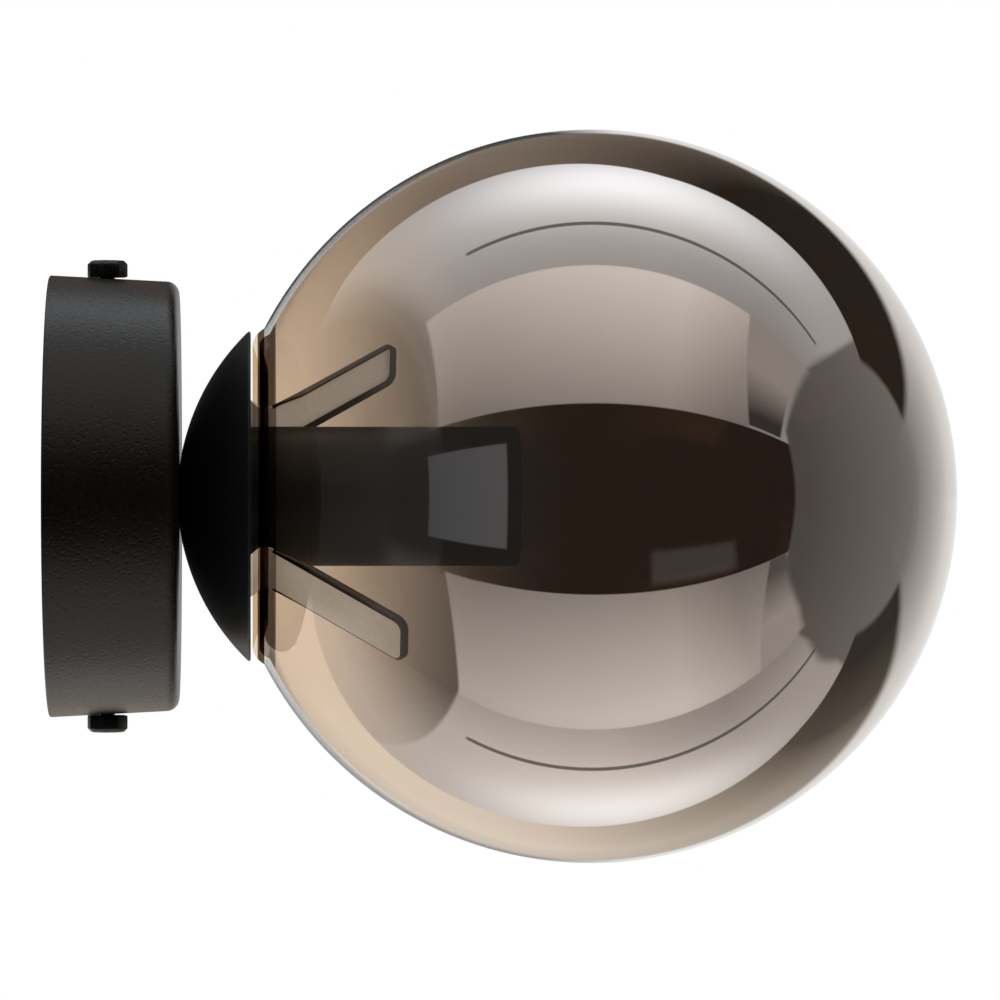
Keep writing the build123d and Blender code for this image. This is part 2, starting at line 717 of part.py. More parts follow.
with BuildPart() as fixing:
    head_x = block_front_x - block_screw_recess
    with BuildSketch(across(0.3)):
        with Locations((0, fixing_z)):
            Circle(block_screw_radius)
    extrude(amount=head_x - 0.3)
    with BuildSketch(across(head_x)):
        with Locations((0, fixing_z)):
            Circle(block_screw_head_radius)
    extrude(amount=block_screw_head_height)
    with BuildSketch(across(head_x + block_screw_head_height)):
        with Locations((0, fixing_z)):
            Rectangle(2 * block_screw_head_radius, 0.7)
            Rectangle(0.7, 2 * block_screw_head_radius)
    extrude(amount=-0.8, mode=Mode.SUBTRACT)
finish(fixing.part, "block_fixing_screw")

# --- earth screw, washer and ring terminal ----------------------------------------------------
ring_x = bracket_thickness
earth_washer_x = ring_x + ring_thickness
earth_head_x = earth_washer_x + earth_washer_thickness
barrel_x = ring_x + ring_barrel_radius
with BuildPart() as ring:
    with BuildSketch(across(ring_x)):
        with Locations((0, earth_screw_z)):
            Circle(ring_radius)
        with Locations(((ring_radius + ring_barrel_length) / 2, earth_screw_z)):
            Rectangle(ring_radius + ring_barrel_length, ring_barrel_radius * 1.6)
        with Locations((0, earth_screw_z)):
            Circle(earth_screw_radius + hole_clearance, mode=Mode.SUBTRACT)
    extrude(amount=ring_thickness)
    with BuildSketch(Plane.XZ.offset(-ring_radius - ring_barrel_length)):
        with Locations((barrel_x, earth_screw_z)):
            Circle(ring_barrel_radius)
    extrude(amount=ring_barrel_length - 1.0)
    with BuildSketch(Plane.XZ.offset(-ring_radius - ring_barrel_length)):
        with Locations((barrel_x, earth_screw_z)):
            Circle(lead_radius)
    extrude(amount=ring_barrel_length - 1.0, mode=Mode.SUBTRACT)
finish(ring.part, "earth_ring_terminal")

with BuildPart() as cup:
    with BuildSketch(across(earth_washer_x)):
        with Locations((0, earth_screw_z)):
            Circle(earth_head_radius + 0.3)
            Circle(earth_screw_radius + hole_clearance, mode=Mode.SUBTRACT)
    extrude(amount=earth_washer_thickness)
finish(cup.part, "earth_cup_washer")

with BuildPart() as earth_screw:
    with BuildSketch(across(earth_head_x - earth_screw_length)):
        with Locations((0, earth_screw_z)):
            Circle(earth_screw_radius)
    extrude(amount=earth_screw_length)
    with BuildSketch(across(earth_head_x)):
        with Locations((0, earth_screw_z)):
            Circle(earth_head_radius)
    extrude(amount=earth_head_height)
    fillet(faces().sort_by(Axis.X)[-1].edges(), 0.8)
    with BuildSketch(across(earth_head_x + earth_head_height)):
        with Locations((0, earth_screw_z)):
            Rectangle(2 * earth_head_radius, 0.9)
            Rectangle(0.9, 2 * earth_head_radius)
    extrude(amount=-1.2, mode=Mode.SUBTRACT)
finish(earth_screw.part, "earth_screw")

# --- leads ------------------------------------------------------------------------------------
# live and neutral run side by side through the tube, one above the other
lead_start_y = pole_screw_spacing / 2 - 1.0
for label, pole, side, out_y in (("live_lead", 0, 1, 16.0), ("neutral_lead", 2, -1, 22.0)):
    in_tube_z = side * lead_spacing / 2
    route = [
        (pole_x, -lead_start_y, pole_z[pole]),
        (pole_x, -out_y, pole_z[pole]),
        (pole_x, -out_y, in_tube_z),
        (pole_x, 0, in_tube_z),
        (lead_turn_x, 0, in_tube_z),
        (lead_turn_x, 0, side * (contact_offset + 1.0)),
    ]
    finish(wire(route, [lead_bend_radius] * 4, lead_radius), label)

earth_route = [
    (pole_x, lead_start_y, pole_z[1]),
    (pole_x, 20.0, pole_z[1]),
    (barrel_x, 20.0, earth_screw_z),
    (barrel_x, ring_radius + 1.5, earth_screw_z),
]
finish(wire(earth_route, [lead_bend_radius] * 2, lead_radius), "earth_lead")

# --- glass globe ------------------------------------------------------------------------------
globe_radius = globe_diameter / 2
inner_globe_radius = globe_radius - globe_wall
neck_inner_radius = neck_outer_radius - 1.6
inner_neck_x = globe_centre_x - math.sqrt(inner_globe_radius**2 - neck_inner_radius**2)
fold = math.atan2(lip_edge_x - lip_fold_x, lip_fold_r - lip_edge_r)
shift_x, shift_r = globe_wall * math.cos(fold), globe_wall * math.sin(fold)
with BuildPart() as globe:
    with BuildSketch(Plane.XZ):
        with BuildLine():
            CenterArc(
                (globe_centre_x, 0), globe_radius, 0,
                180 - math.degrees(math.asin(neck_outer_radius / globe_radius)),
            )
            ThreePointArc(
                (neck_x, neck_outer_radius),
                (neck_x - 1.9, neck_outer_radius - 1.55),
                (lip_fold_x, lip_fold_r),
            )
            Line((lip_fold_x, lip_fold_r), (lip_edge_x, lip_edge_r))
            ThreePointArc(
                (lip_edge_x, lip_edge_r),
                (
                    lip_edge_x + shift_x / 2 + globe_wall / 2 * math.sin(fold),
                    lip_edge_r + shift_r / 2 - globe_wall / 2 * math.cos(fold),
                ),
                (lip_edge_x + shift_x, lip_edge_r + shift_r),
            )
            Line(
                (lip_edge_x + shift_x, lip_edge_r + shift_r),
                (lip_fold_x + shift_x, lip_fold_r + shift_r - 0.5),
            )
            ThreePointArc(
                (lip_fold_x + shift_x, lip_fold_r + shift_r - 0.5),
                (inner_neck_x - 1.7, neck_inner_radius - 0.95),
                (inner_neck_x, neck_inner_radius),
            )
            CenterArc(
                (globe_centre_x, 0), inner_globe_radius, 0,
                180 - math.degrees(math.asin(neck_inner_radius / inner_globe_radius)),
            )
            Line(
                (globe_centre_x + inner_globe_radius, 0), (globe_centre_x + globe_radius, 0)
            )
        make_face()
    revolve(axis=Axis.X)
finish(globe.part, "glass_globe")
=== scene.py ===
"""Looks of a globe wall sconce, over its CAD frame.

Sizes in the classes are millimetres in the row's frame: +X out of the wall along the axis,
+Z up, the viewer at -Y. Half sections are lists of (x, r) and are spun about X.
"""
import logging
import math
from dataclasses import dataclass, field
from enum import Enum
from typing import Callable, Iterable, NamedTuple, Sequence

import bpy
from mathutils import Matrix, Vector


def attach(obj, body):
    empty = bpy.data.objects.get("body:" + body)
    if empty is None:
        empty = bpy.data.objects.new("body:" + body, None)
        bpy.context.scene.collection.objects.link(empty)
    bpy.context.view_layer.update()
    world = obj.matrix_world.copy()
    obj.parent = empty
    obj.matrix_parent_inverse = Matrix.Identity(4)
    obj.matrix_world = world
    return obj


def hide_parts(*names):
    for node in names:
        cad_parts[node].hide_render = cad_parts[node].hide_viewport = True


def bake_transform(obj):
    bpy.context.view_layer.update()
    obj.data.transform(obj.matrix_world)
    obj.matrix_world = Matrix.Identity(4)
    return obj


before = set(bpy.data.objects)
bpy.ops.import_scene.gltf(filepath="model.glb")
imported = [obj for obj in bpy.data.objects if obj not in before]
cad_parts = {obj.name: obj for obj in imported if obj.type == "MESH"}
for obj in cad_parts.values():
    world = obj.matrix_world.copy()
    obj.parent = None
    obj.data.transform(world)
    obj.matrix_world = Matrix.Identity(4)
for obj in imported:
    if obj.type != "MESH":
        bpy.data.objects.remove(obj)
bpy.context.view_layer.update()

MM = 0.001
WELD = 2e-6  # vertices nearer than this, in metres, are one
NEAR = 1e-5  # an edge this near a place, in metres, lies on it
log = logging.getLogger("sconce")

Point2 = tuple[float, float]
Colour = tuple[float, float, float]


# --- modelling by hand ------------------------------------------------------------------------
class Bench:
    """The modelling operators in the order a modeller uses them."""

    @staticmethod
    def clear() -> None:
        """Leave edit mode and deselect everything."""
        if bpy.context.object and bpy.context.object.mode != "OBJECT":
            bpy.ops.object.mode_set(mode="OBJECT")
        bpy.ops.object.select_all(action="DESELECT")

    @staticmethod
    def chain(name: str, points: Sequence[tuple[float, float, float]]) -> bpy.types.Object:
        """Draw a chain of edges by extruding one vertex from point to point.

        Args:
            name: Name of the new object.
            points: Corners of the chain in millimetres.

        Returns:
            The object, in edit mode, with its last vertex selected.
        """
        Bench.clear()
        start = Vector(points[0]) * MM
        bpy.ops.mesh.primitive_plane_add(size=MM, location=start)
        piece = bpy.context.object
        piece.name = piece.data.name = name
        bpy.ops.object.mode_set(mode="EDIT")
        bpy.ops.mesh.select_mode(type="VERT")
        bpy.ops.mesh.select_all(action="SELECT")
        bpy.ops.mesh.merge(type="CENTER")
        here = start
        for corner in points[1:]:
            there = Vector(corner) * MM
            bpy.ops.mesh.extrude_vertices_move(TRANSFORM_OT_translate={"value": there - here})
            here = there
        return piece

    @staticmethod
    def turn(name: str, section: Sequence[Point2], steps: int = 96) -> bpy.types.Object:
        """Spin a half section about the X axis into a closed skin.

        Args:
            name: Name of the new object.
            section: Half section as (x, r); it starts and ends on the axis, or at one point.
            steps: Flats round the axis.

        Returns:
            The finished object at the origin.
        """
        piece = Bench.chain(name, [(x, 0.0, r) for x, r in section])
        bpy.ops.mesh.select_all(action="SELECT")
        bpy.ops.mesh.spin(steps=steps, angle=2 * math.pi, center=(0, 0, 0), axis=(1, 0, 0))
        bpy.ops.mesh.select_all(action="SELECT")
        bpy.ops.mesh.remove_doubles(threshold=WELD)
        bpy.ops.mesh.normals_make_consistent(inside=False)
        return Bench.settle(piece)

    @staticmethod
    def settle(piece: bpy.types.Object, smooth_angle: float = 32.0) -> bpy.types.Object:
        """Leave edit mode, put the object's place into its mesh and smooth its faces.

        Args:
            piece: The object to finish.
            smooth_angle: Edges sharper than this, in degrees, stay crisp.

        Returns:
            The same object.
        """
        Bench.clear()
        piece.select_set(True)
        bpy.context.view_layer.objects.active = piece
        bpy.ops.object.transform_apply(location=True, rotation=True, scale=True)
        bpy.ops.object.shade_smooth_by_angle(angle=math.radians(smooth_angle))
        Bench.clear()
        return piece

    @staticmethod
    def pick(piece: bpy.types.Object, mode: str, rule: Callable[[Vector], bool]) -> None:
        """Select the vertices, edges or faces whose centre passes a rule, in edit mode.

        Args:
            piece: The object in edit mode.
            mode: VERT, EDGE or FACE.
            rule: Takes a centre in metres and says whether it is wanted.
        """
        bpy.ops.mesh.select_mode(type="VERT")
        bpy.ops.mesh.select_all(action="DESELECT")
        bpy.ops.mesh.select_mode(type=mode)
        bpy.ops.object.mode_set(mode="OBJECT")
        mesh, place = piece.data, piece.matrix_world
        if mode == "VERT":
            for vertex in mesh.vertices:
                vertex.select = rule(place @ vertex.co)
        elif mode == "EDGE":
            for edge in mesh.edges:
                ends = [mesh.vertices[i].co for i in edge.vertices]
                edge.select = rule(place @ ((ends[0] + ends[1]) / 2))
        else:
            for face in mesh.polygons:
                face.select = rule(place @ face.center)
        bpy.ops.object.mode_set(mode="EDIT")

    @staticmethod
    def modify(piece: bpy.types.Object, kind: str, **settings: object) -> None:
        """Add a modifier with its settings and apply it.

        Args:
            piece: The object that gets it.
            kind: Blender's name of the modifier's type.
            settings: Its values by name.
        """
        Bench.clear()
        piece.select_set(True)
        bpy.context.view_layer.objects.active = piece
        modifier = piece.modifiers.new(kind.lower(), kind)
        for key, value in settings.items():
            setattr(modifier, key, value)
        bpy.ops.object.modifier_apply(modifier=modifier.name)
        Bench.clear()

    @staticmethod
    def drill(piece: bpy.types.Object, radius: float, depth: float, at: Sequence[float]) -> None:
        """Cut a round hole along Z through a piece.

        Args:
            piece: The object to drill.
            radius: Of the hole, in millimetres.
            depth: Length of the cutter.
            at: Its centre.
        """
        Bench.clear()
        bpy.ops.mesh.primitive_cylinder_add(
            vertices=32, radius=radius * MM, depth=depth * MM, location=Vector(at) * MM
        )
        cutter = bpy.context.object
        Bench.modify(piece, "BOOLEAN", object=cutter, operation="DIFFERENCE", solver="EXACT")
        bpy.data.objects.remove(cutter)


def arc(centre: Point2, radius: float, first: float, last: float, steps: int) -> list[Point2]:
    """Points of an arc in the half section.

    Args:
        centre: Its centre as (x, r).
        radius: Its radius.
        first: Start angle in degrees, from +x towards +r.
        last: End angle.
        steps: Number of flats.

    Returns:
        The points, both ends included.
    """
    turns = [math.radians(first + (last - first) * n / steps) for n in range(steps + 1)]
    return [(centre[0] + radius * math.cos(a), centre[1] + radius * math.sin(a)) for a in turns]


def arc_through(a: Point2, b: Point2, c: Point2, steps: int) -> list[Point2]:
    """Points of the arc from a to c that runs through b.

    Args:
        a: First point.
        b: A point between the ends.
        c: Last point.
        steps: Number of flats.

    Returns:
        The points, both ends included.
    """
    (ax, ay), (bx, by), (cx, cy) = a, b, c
    d = 2 * (ax * (by - cy) + bx * (cy - ay) + cx * (ay - by))
    sa, sb, sc = ax**2 + ay**2, bx**2 + by**2, cx**2 + cy**2
    x = (sa * (by - cy) + sb * (cy - ay) + sc * (ay - by)) / d
    y = (sa * (cx - bx) + sb * (ax - cx) + sc * (bx - ax)) / d
    ends = [math.degrees(math.atan2(p[1] - y, p[0] - x)) for p in (a, b, c)]
    while ends[1] - ends[0] > 180:
        ends[1] -= 360
    while ends[0] - ends[1] > 180:
        ends[1] += 360
    while ends[2] - ends[1] > 180:
        ends[2] -= 360
    while ends[1] - ends[2] > 180:
        ends[2] += 360
    return arc((x, y), math.hypot(ax - x, ay - y), ends[0], ends[2], steps)


def arc_between(a: Point2, b: Point2, radius: float, steps: int) -> list[Point2]:
    """Points of an arc of a known radius between two points.

    Args:
        a: First point.
        b: Last point.
        radius: Positive where the centre lies to the right of the way from a to b.
        steps: Number of flats.

    Returns:
        The points, both ends included.
    """
    start, end = Vector(a), Vector(b)
    chord = end - start
    right = Vector((chord.y, -chord.x)).normalized() * math.copysign(1.0, radius)
    rise = abs(radius) - math.sqrt(radius**2 - chord.length**2 / 4)
    return arc_through(a, tuple((start + end) / 2 - right * rise), b, steps)


def rounded(points: Sequence[Point2], radii: Sequence[float], steps: int = 5) -> list[Point2]:
    """A polyline with its inner corners rounded.

    Args:
        points: Its corners.
        radii: One radius for each corner between the ends.
        steps: Flats in each bend.

    Returns:
        The points along the rounded line.
    """
    line: list[Point2] = [points[0]]
    for n, radius in enumerate(radii, 1):
        before, corner, after = (Vector(points[i]) for i in (n - 1, n, n + 1))
        back, on = (before - corner).normalized(), (after - corner).normalized()
        half = back.angle(on) / 2
        reach = radius / math.tan(half)
        a, c = corner + back * reach, corner + on * reach
        b = corner + (back + on).normalized() * (radius / math.sin(half) - radius)
        line += arc_through(tuple(a), tuple(b), tuple(c), steps)
    return line + [points[-1]]


# --- finishes ---------------------------------------------------------------------------------
class Surface(Enum):
    """Which worked surface a finish has."""

    POWDER = "textured powder coat"
    SATIN = "satin paint"
    ROLLED = "rolled or drawn metal"
    MOULDED = "moulded plastic"
    FIRED = "fired ceramic"


@dataclass(frozen=True)
class Finish:
    """An opaque finish: its colour, its gloss and how its surface was worked."""

    name: str
    slot: str
    colour: Colour
    surface: Surface
    roughness: float = 0.4
    metallic: float = 0.0
    specular: float = 0.5
    relief: float = 0.3
    shine: Colour = (1.0, 1.0, 1.0)


class Texture:
    """Shader node groups that several finishes share, each built once."""

    GRIT_FINER = 2.7  # grit against grain, in patterns per metre
    PITS_COARSER = 0.55  # pits against grain
    GRIT_SHARE = 0.45  # of the grit in the relief
    MEAN_GRAIN = 0.72  # of grain and grit together
    BLOTCHES = 38.0  # per metre
    PAINTED_PIT_SHADE = 0.35  # painted shade in the pits: how much darker a pit is drawn
    DRIFT = 0.010  # how far the coat's edge wanders, in metres

    _made: dict[str, bpy.types.ShaderNodeTree] = {}

    @classmethod
    def tree(
        cls,
        name: str,
        inputs: Iterable[tuple[str, str, object]],
        outputs: Iterable[tuple[str, str]],
    ) -> tuple[bpy.types.ShaderNodeTree, bool]:
        """Find a group by name or start it with its sockets.

        Args:
            name: Name of the group.
            inputs: Name, socket type and default of each input.
            outputs: Name and socket type of each output.

        Returns:
            The group, and whether it is new and still empty.
        """
        if name in cls._made:
            return cls._made[name], False
        group = bpy.data.node_groups.new(name, "ShaderNodeTree")
        for label, kind, value in inputs:
            socket = group.interface.new_socket(label, in_out="INPUT", socket_type=kind)
            if value is not None:
                socket.default_value = value
        for label, kind in outputs:
            group.interface.new_socket(label, in_out="OUTPUT", socket_type=kind)
        cls._made[name] = group
        return group, True

    @classmethod
    def worked(cls) -> bpy.types.ShaderNodeTree:
        """Grain, blotches and relief of a paint, plastic or metal surface, with painted shade in
        its pits.

        Returns:
            The group: colour, roughness and height over the surface.
        """
        group, new = cls.tree(
            "worked_surface",
            (
                ("Colour", "NodeSocketColor", None),
                ("Roughness", "NodeSocketFloat", 0.4),
                ("Grain per metre", "NodeSocketFloat", 900.0),
                ("Stretch", "NodeSocketVector", (1.0, 1.0, 1.0)),
                ("Grain contrast", "NodeSocketFloat", 0.2),
                ("Blotch contrast", "NodeSocketFloat", 0.1),
                ("Pits", "NodeSocketFloat", 0.0),
            ),
            (
                ("Colour", "NodeSocketColor"),
                ("Roughness", "NodeSocketFloat"),
                ("Height", "NodeSocketFloat"),
            ),
        )
        if not new:
            return group
        net = Net(group)
        ins, outs = net.add("NodeGroupInput"), net.add("NodeGroupOutput")
        place = net.add("ShaderNodeTexCoord").outputs["Object"]
        scale = ins.outputs["Grain per metre"]
        stretch = net.vector("MULTIPLY", place, ins.outputs["Stretch"])
        grain = net.noise(stretch, scale, 4.0, 0.62)
        grit = net.noise(stretch, net.times(scale, cls.GRIT_FINER), 2.0, 0.5)
        blotch = net.noise(place, cls.BLOTCHES, 3.0, 0.5)
        pits = net.add("ShaderNodeTexVoronoi")
        net.feed(pits, "Vector", stretch)
        net.feed(pits, "Scale", net.times(scale, cls.PITS_COARSER))
        hollow = net.ramp_range(pits.outputs["Distance"], 0.12, 0.42, 1.0, 0.0)
        hollow = net.times(hollow, ins.outputs["Pits"])
        mixed = net.maths("ADD", grain, net.times(grit, cls.GRIT_SHARE))
        tone = net.maths("SUBTRACT", mixed, cls.MEAN_GRAIN)
        tone = net.times(tone, ins.outputs["Grain contrast"])
        patch = net.times(net.maths("SUBTRACT", blotch, 0.5), ins.outputs["Blotch contrast"])
        shade = net.maths("ADD", net.maths("ADD", tone, patch), 1.0)
        # painted shade: the pits are drawn darker than the coat around them
        shade = net.maths("SUBTRACT", shade, net.times(hollow, cls.PAINTED_PIT_SHADE))
        net.feed(outs, "Colour", net.scaled(ins.outputs["Colour"], shade))
        rough = net.maths("ADD", ins.outputs["Roughness"], net.times(tone, 0.5))
        rough = net.maths("ADD", rough, net.times(patch, 0.6))
        net.feed(outs, "Roughness", net.maths("MAXIMUM", rough, 0.02))
        net.feed(outs, "Height", net.maths("SUBTRACT", mixed, hollow))
        return group

    @classmethod
    def fading(cls) -> bpy.types.ShaderNodeTree:
        """The vapour coat of the ball: clear at the neck, a mirror at the far side.

        Returns:
            The group: share of light that the coat stops, and its colour.
        """
        group, new = cls.tree(
            "fading_coat",
            (
                ("Clear until", "NodeSocketFloat", 0.05),
                ("Full from", "NodeSocketFloat", 0.135),
                ("Thinnest", "NodeSocketFloat", 0.05),
                ("Thickest", "NodeSocketFloat", 0.93),
                ("Thin colour", "NodeSocketColor", None),
                ("Thick colour", "NodeSocketColor", None),
            ),
            (("Cover", "NodeSocketFloat"), ("Colour", "NodeSocketColor")),
        )
        if not new:
            return group
        net = Net(group)
        ins, outs = net.add("NodeGroupInput"), net.add("NodeGroupOutput")
        place = net.add("ShaderNodeTexCoord").outputs["Object"]
        split = net.add("ShaderNodeSeparateXYZ")
        net.feed(split, "Vector", place)
        cloud = net.maths("SUBTRACT", net.noise(place, 14.0, 2.0, 0.5), 0.5)
        along = net.maths("ADD", split.outputs["X"], net.times(cloud, cls.DRIFT))
        ends = ("Clear until", "Full from", "Thinnest", "Thickest")
        cover = net.ramp_range(along, *(ins.outputs[label] for label in ends))
        net.feed(outs, "Cover", cover)
        blend = net.over(ins.outputs["Thin colour"], ins.outputs["Thick colour"], cover)
        net.feed(outs, "Colour", blend)
        return group


class Net:
    """Short ways to place and join the nodes of one tree."""

    def __init__(self, tree: bpy.types.NodeTree) -> None:
        """Work on one node tree."""
        self.tree = tree

    def add(self, kind: str) -> bpy.types.Node:
        """Add a node of a type."""
        return self.tree.nodes.new(kind)

    def link(self, source: bpy.types.NodeSocket, target: bpy.types.NodeSocket) -> None:
        """Join two sockets."""
        self.tree.links.new(source, target)

    def feed(self, node: bpy.types.Node, label: str, value: object) -> None:
        """Give a node's input a link or a plain value.

        Args:
            node: The node.
            label: Name of its input.
            value: A socket to link from, or a value.
        """
        if isinstance(value, bpy.types.NodeSocket):
            self.link(value, node.inputs[label])
        elif value is not None:
            node.inputs[label].default_value = value

    def _join(self, kind: str, operation: str, a: object, b: object) -> bpy.types.Node:
        """Add a node that joins one or two values.

        Args:
            kind: Type of the node.
            operation: Blender's name of what it does.
            a: First socket or value.
            b: Second socket or value, or None.

        Returns:
            The node.
        """
        node = self.add(kind)
        node.operation = operation
        for socket, value in zip(node.inputs, (a, b)):
            if isinstance(value, bpy.types.NodeSocket):
                self.link(value, socket)
            elif value is not None:
                socket.default_value = value
        return node

    def maths(self, operation: str, a: object, b: object = None) -> bpy.types.NodeSocket:
        """Join one or two values by a Math node.

        Args:
            operation: Blender's name of the operation.
            a: First socket or number.
            b: Second socket or number.

        Returns:
            The result's socket.
        """
        return self._join("ShaderNodeMath", operation, a, b).outputs[0]

    def vector(self, operation: str, a: object, b: object = None) -> bpy.types.NodeSocket:
        """Join one or two vectors by a Vector Math node.

        Args:
            operation: Blender's name of the operation.
            a: First socket or vector.
            b: Second socket or vector.

        Returns:
            The result's socket, a number for a dot product.
        """
        node = self._join("ShaderNodeVectorMath", operation, a, b)
        return node.outputs["Value" if operation == "DOT_PRODUCT" else "Vector"]

    def scaled(self, colour: object, strength: object) -> bpy.types.NodeSocket:
        """A colour or vector times a strength.

        Args:
            colour: Socket or three numbers.
            strength: Socket or number.

        Returns:
            The product's socket.
        """
        product = self.vector("SCALE", colour)
        self.feed(product.node, "Scale", strength)
        return product

    def times(self, first: object, *others: object) -> bpy.types.NodeSocket:
        """Multiply numbers or masks.

        Args:
            first: First socket or number.
            others: What it is multiplied by, in order.

        Returns:
            The product's socket.
        """
        for other in others:
            first = self.maths("MULTIPLY", first, other)
        return first

    def noise(
        self, place: object, scale: object, detail: float, rough: float
    ) -> bpy.types.NodeSocket:
        """Noise over a place, from 0 to 1.

        Args:
            place: Socket of the coordinates.
            scale: Size of the pattern, per metre.
            detail: Number of finer layers.
            rough: Share of the finer layers.

        Returns:
            The noise's socket.
        """
        node = self.add("ShaderNodeTexNoise")
        for label, value in zip(
            ("Vector", "Scale", "Detail", "Roughness"), (place, scale, detail, rough)
        ):
            self.feed(node, label, value)
        return node.outputs[0]

    def _range(self, kind: str, value: object, limits: Sequence[object]) -> bpy.types.NodeSocket:
        """Turn one range of values into another.

        Args:
            kind: SMOOTHSTEP or LINEAR.
            value: What is measured.
            limits: Low and high of what is measured, then the results there.

        Returns:
            The result's socket.
        """
        node = self.add("ShaderNodeMapRange")
        node.interpolation_type = kind
        self.feed(node, "Value", value)
        for label, limit in zip(("From Min", "From Max", "To Min", "To Max"), limits):
            self.feed(node, label, limit)
        return node.outputs["Result"]

    def ramp_range(
        self, value: object, low: object, high: object, at_low: object = 0.0, at_high: object = 1.0
    ) -> bpy.types.NodeSocket:
        """A soft step from one value to another.

        Args:
            value: What is measured.
            low: Where the step starts.
            high: Where it ends.
            at_low: Result before the step.
            at_high: Result after it.

        Returns:
            The result's socket.
        """
        return self._range("SMOOTHSTEP", value, (low, high, at_low, at_high))

    def slope(
        self, value: object, low: float, high: float, at_low: float, at_high: float
    ) -> bpy.types.NodeSocket:
        """A straight climb between two values, level before and after it.

        Args:
            value: What is measured.
            low: Where the climb starts.
            high: Where it ends.
            at_low: Result before it.
            at_high: Result after it.

        Returns:
            The result's socket.
        """
        return self._range("LINEAR", value, (low, high, at_low, at_high))

    def over(self, under: object, top: object, mask: object) -> bpy.types.NodeSocket:
        """Lay one colour over another through a mask.

        Args:
            under: Socket or colour below.
            top: Socket or colour above.
            mask: Where the upper one shows.

        Returns:
            The mixed colour's socket.
        """
        node = self.add("ShaderNodeMix")
        node.data_type = "RGBA"
        self.feed(node, "Factor", mask)
        for socket, value in ((node.inputs[6], under), (node.inputs[7], top)):
            if isinstance(value, bpy.types.NodeSocket):
                self.link(value, socket)
            else:
                socket.default_value = (*value, 1.0)
        return node.outputs[2]


class Paint:
    """Makes Blender materials of the finishes, each once."""

    _made: dict[str, bpy.types.Material] = {}

    # grain per metre, stretch, grain contrast, blotch contrast, pits (hollows in the relief, drawn
    # darker as painted shade) and relief depth
    WORK: dict[Surface, tuple[float, Sequence[float], float, float, float, float]] = {
        Surface.POWDER: (1150.0, (1, 1, 1), 0.55, 0.25, 0.55, 0.00016),
        Surface.SATIN: (700.0, (1, 1, 1), 0.12, 0.20, 0.0, 0.00002),
        Surface.ROLLED: (420.0, (0.16, 1.6, 1.6), 0.22, 0.18, 0.0, 0.000015),
        Surface.MOULDED: (520.0, (1, 1, 1), 0.10, 0.12, 0.0, 0.00002),
        Surface.FIRED: (260.0, (1, 1, 1), 0.10, 0.18, 0.15, 0.00005),
    }

    @classmethod
    def opaque(cls, finish: Finish) -> bpy.types.Material:
        """Material of an opaque finish.

        Args:
            finish: Its values.

        Returns:
            The material.
        """
        if finish.name in cls._made:
            return cls._made[finish.name]
        material, shader, net = cls.start(finish.name)
        grain, stretch, contrast, blotch, pits, depth = cls.WORK[finish.surface]
        work = net.add("ShaderNodeGroup")
        work.node_tree = Texture.worked()
        for label, value in (
            ("Colour", (*finish.colour, 1.0)),
            ("Roughness", finish.roughness),
            ("Grain per metre", grain),
            ("Stretch", stretch),
            ("Grain contrast", contrast),
            ("Blotch contrast", blotch),
            ("Pits", pits),
        ):
            net.feed(work, label, value)
        net.link(work.outputs["Colour"], shader.inputs["Base Color"])
        net.link(work.outputs["Roughness"], shader.inputs["Roughness"])
        bump = net.add("ShaderNodeBump")
        for label, value in (
            ("Strength", finish.relief), ("Distance", depth), ("Height", work.outputs["Height"])
        ):
            net.feed(bump, label, value)
        for label, value in (
            ("Normal", bump.outputs["Normal"]),
            ("Metallic", finish.metallic),
            ("Specular IOR Level", finish.specular),
            ("Specular Tint", (*finish.shine, 1.0)),
        ):
            net.feed(shader, label, value)
        cls._made[finish.name] = material
        return material

    @classmethod
    def start(cls, name: str) -> tuple[bpy.types.Material, bpy.types.Node, Net]:
        """A new material with its Principled shader.

        Args:
            name: Name of the material.

        Returns:
            The material, the shader and its net.
        """
        material = bpy.data.materials.new(name)
        material.use_nodes = True
        material.node_tree.nodes.clear()
        net = Net(material.node_tree)
        shader, out = net.add("ShaderNodeBsdfPrincipled"), net.add("ShaderNodeOutputMaterial")
        net.link(shader.outputs[0], out.inputs["Surface"])
        return material, shader, net


POWDER_BLACK = Finish("canopy_powder_black", "textured_black", (0.0012, 0.0012, 0.0012),
                      Surface.POWDER, roughness=0.34, specular=0.48, relief=0.5,
                      shine=(1.0, 0.94, 0.88))
SATIN_BLACK = Finish("dish_satin_black", "satin_black", (0.006, 0.006, 0.0065),
                     Surface.SATIN, roughness=0.5, specular=0.3, relief=0.3)
SLEEVE_BLACK = Finish("sleeve_satin_black", "satin_black", (0.008, 0.008, 0.008),
                      Surface.SATIN, roughness=0.42, specular=0.4, relief=0.3)
HOLDER_BLACK = Finish("holder_moulded_black", "holder_black", (0.010, 0.010, 0.010),
                      Surface.MOULDED, roughness=0.4, relief=0.3)
ZINC = Finish("zinc_plated_steel", "zinc_steel", (0.56, 0.57, 0.56),
              Surface.ROLLED, roughness=0.34, metallic=1.0, relief=0.4)
SPRING_STEEL = Finish("bright_spring_steel", "spring_steel", (0.92, 0.88, 0.83),
                      Surface.ROLLED, roughness=0.36, metallic=0.1, relief=0.15)
